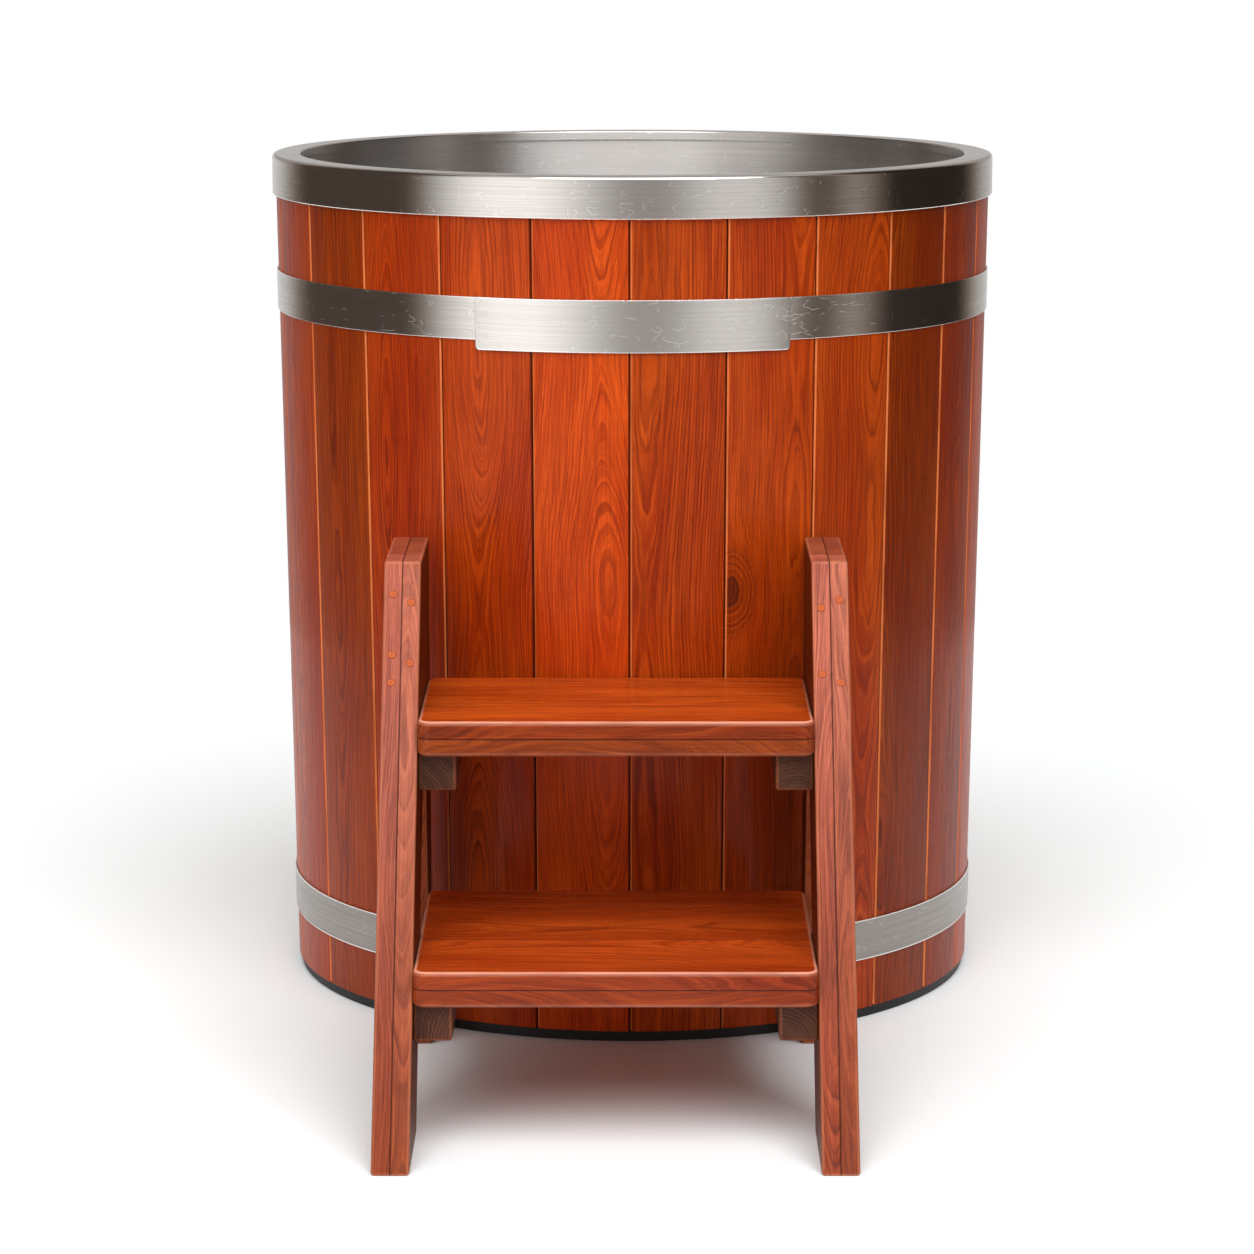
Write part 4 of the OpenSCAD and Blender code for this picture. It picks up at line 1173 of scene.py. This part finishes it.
# Colour of the bearers' paler eased edges: partly wear, partly a painted highlight.
bearer_wear_and_highlight = (0.90, 0.27, 0.09, 1)

bearer_stain = varnished_wood(
    "bearer_stain", bearer_pale, bearer_rich, bearer_dark, bearer_wear_and_highlight, ring_gap=0.0045,
    roughness=0.5, gloss=0.2, coat=0.05, wear_and_highlight=0.15, relief=0.0006)
bearers = ["upper_left", "upper_right", "lower_left", "lower_right"]
for number, name in enumerate(bearers):
    low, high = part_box(name + "_bearer")
    bearer = block(name + "_bar", low, high)
    ease_edges(bearer, bearer_ease)
    centre = (low + high) / 2

    def along_the_bar(place):
        return Vector((place.x - centre.x, place.z - centre.z, place.y - centre.y))

    mark_grain(bearer, bearer_board + number, along_the_bar, lambda place: bearer_tone)
    shaded(bearer)
    fit_out(bearer, bearer_stain, "steps", "bearer_wood", name + "_bearer")


# Stool screws: zinc-plated wood screws, driven from the legs into the posts under the plugs,
# and through the bearers into the side frames and the treads.
screws = finished_copy("stool_screws", "step_screws")
fit_out(screws, fastener_steel, "steps", "fastener_steel", "step_screws")


# Studio: a plain pale floor under a soft lamp, high in front. The surroundings hold a key
# card front left, a fill card front right, dark cards and a pale strip at the sides, and a
# white wall behind.
floor_r = 2.6
floor_shade = (0.93, 0.975, 0.985, 1)
floor_white = (0.95, 0.985, 0.995, 1)
floor_patches = (3, 3, 3)
lamp_turn = math.radians(8)
lamp_rise = math.radians(57)
lamp_spread = math.radians(56)
lamp_power = 2.60
top_level = 0.6
top_fade = (0.75, 0.90)
front_level = 0.43
wall_bearing = 6
wall_fade = (132, 176)
wall_top = 0.12
wall_under = -0.1
wall_gain = 0.29
tint_full = 0.6
dim_tint = (1.0, 0.74, 0.58, 1)
bright_tint = (1.0, 0.975, 0.955, 1)

# Cards: bearing from the front towards +X, half width and softness in degrees, and gain.
cards = {
    "dark left": (-101, 37, 15, -0.35),
    "dark right": (97, 42, 12, -0.40),
    "key": (-37.5, 21.5, 18, 1.0),
    "fill": (32, 14, 11, 0.45),
    "side strip": (74, 8, 10, 0.31),
}

fresh()
bpy.ops.mesh.primitive_circle_add(vertices=128, radius=floor_r, fill_type="NGON", location=(0, 0, 0))
floor = bpy.context.object
floor.name = "studio_floor"
floor_paint, floor_tree, floor_shader = finish("floor_paint", roughness=0.75, specular_ior_level=0.2)
floor_speck = cloud(floor_tree, own_place(floor_tree), floor_patches)
wire(floor_tree, floor_shader, mixed(floor_tree, floor_speck, floor_shade, floor_white))
floor.data.materials.append(floor_paint)

lamp_way = Vector((
    math.sin(lamp_turn) * math.cos(lamp_rise), -math.cos(lamp_turn) * math.cos(lamp_rise),
    math.sin(lamp_rise)))
bpy.ops.object.light_add(type="SUN", location=lamp_way)
lamp = bpy.context.object
lamp.rotation_euler = lamp_way.to_track_quat("Z", "Y").to_euler()
lamp.data.angle = lamp_spread
lamp.data.energy = lamp_power

world = bpy.data.worlds.new("studio")
bpy.context.scene.world = world
world.use_nodes = True
sky = world.node_tree
backdrop = sky.nodes["Background"]
look = split_up(sky, shader_node(sky, "ShaderNodeTexCoord").outputs["Generated"])
bearing = maths(sky, "MULTIPLY", maths(
    sky, "ARCTAN2", look[0], maths(sky, "MULTIPLY", look[1], -1.0)), 180 / math.pi)
level = front_level
for card_bearing, card_half, card_soft, card_gain in cards.values():
    away = maths(sky, "ABSOLUTE", maths(sky, "SUBTRACT", bearing, card_bearing))
    lit = fade(sky, away, card_half - card_soft, card_half + card_soft, 1, 0)
    level = maths(sky, "MULTIPLY_ADD", lit, card_gain, level)
behind = maths(sky, "ABSOLUTE", maths(sky, "SUBTRACT", bearing, wall_bearing))
behind = fade(sky, behind, *wall_fade)
behind = maths(sky, "MULTIPLY", behind, fade(sky, look[2], 0.0, wall_top, 1, wall_under))
level = maths(sky, "MULTIPLY_ADD", behind, wall_gain, level)
above = fade(sky, look[2], *top_fade)
light = maths(sky, "MULTIPLY_ADD", above, maths(sky, "SUBTRACT", top_level, level), level)
seen = shader_node(sky, "ShaderNodeLightPath").outputs["Is Camera Ray"]
tint = mixed(sky, fade(sky, light, 0.0, tint_full), dim_tint, bright_tint)
sky.links.new(mixed(sky, seen, tint, (1, 1, 1, 1)), backdrop.inputs["Color"])
light = maths(sky, "MULTIPLY_ADD", seen, maths(sky, "SUBTRACT", 1.0, light), light)
sky.links.new(light, backdrop.inputs["Strength"])

bpy.context.scene.view_settings.view_transform = "Standard"
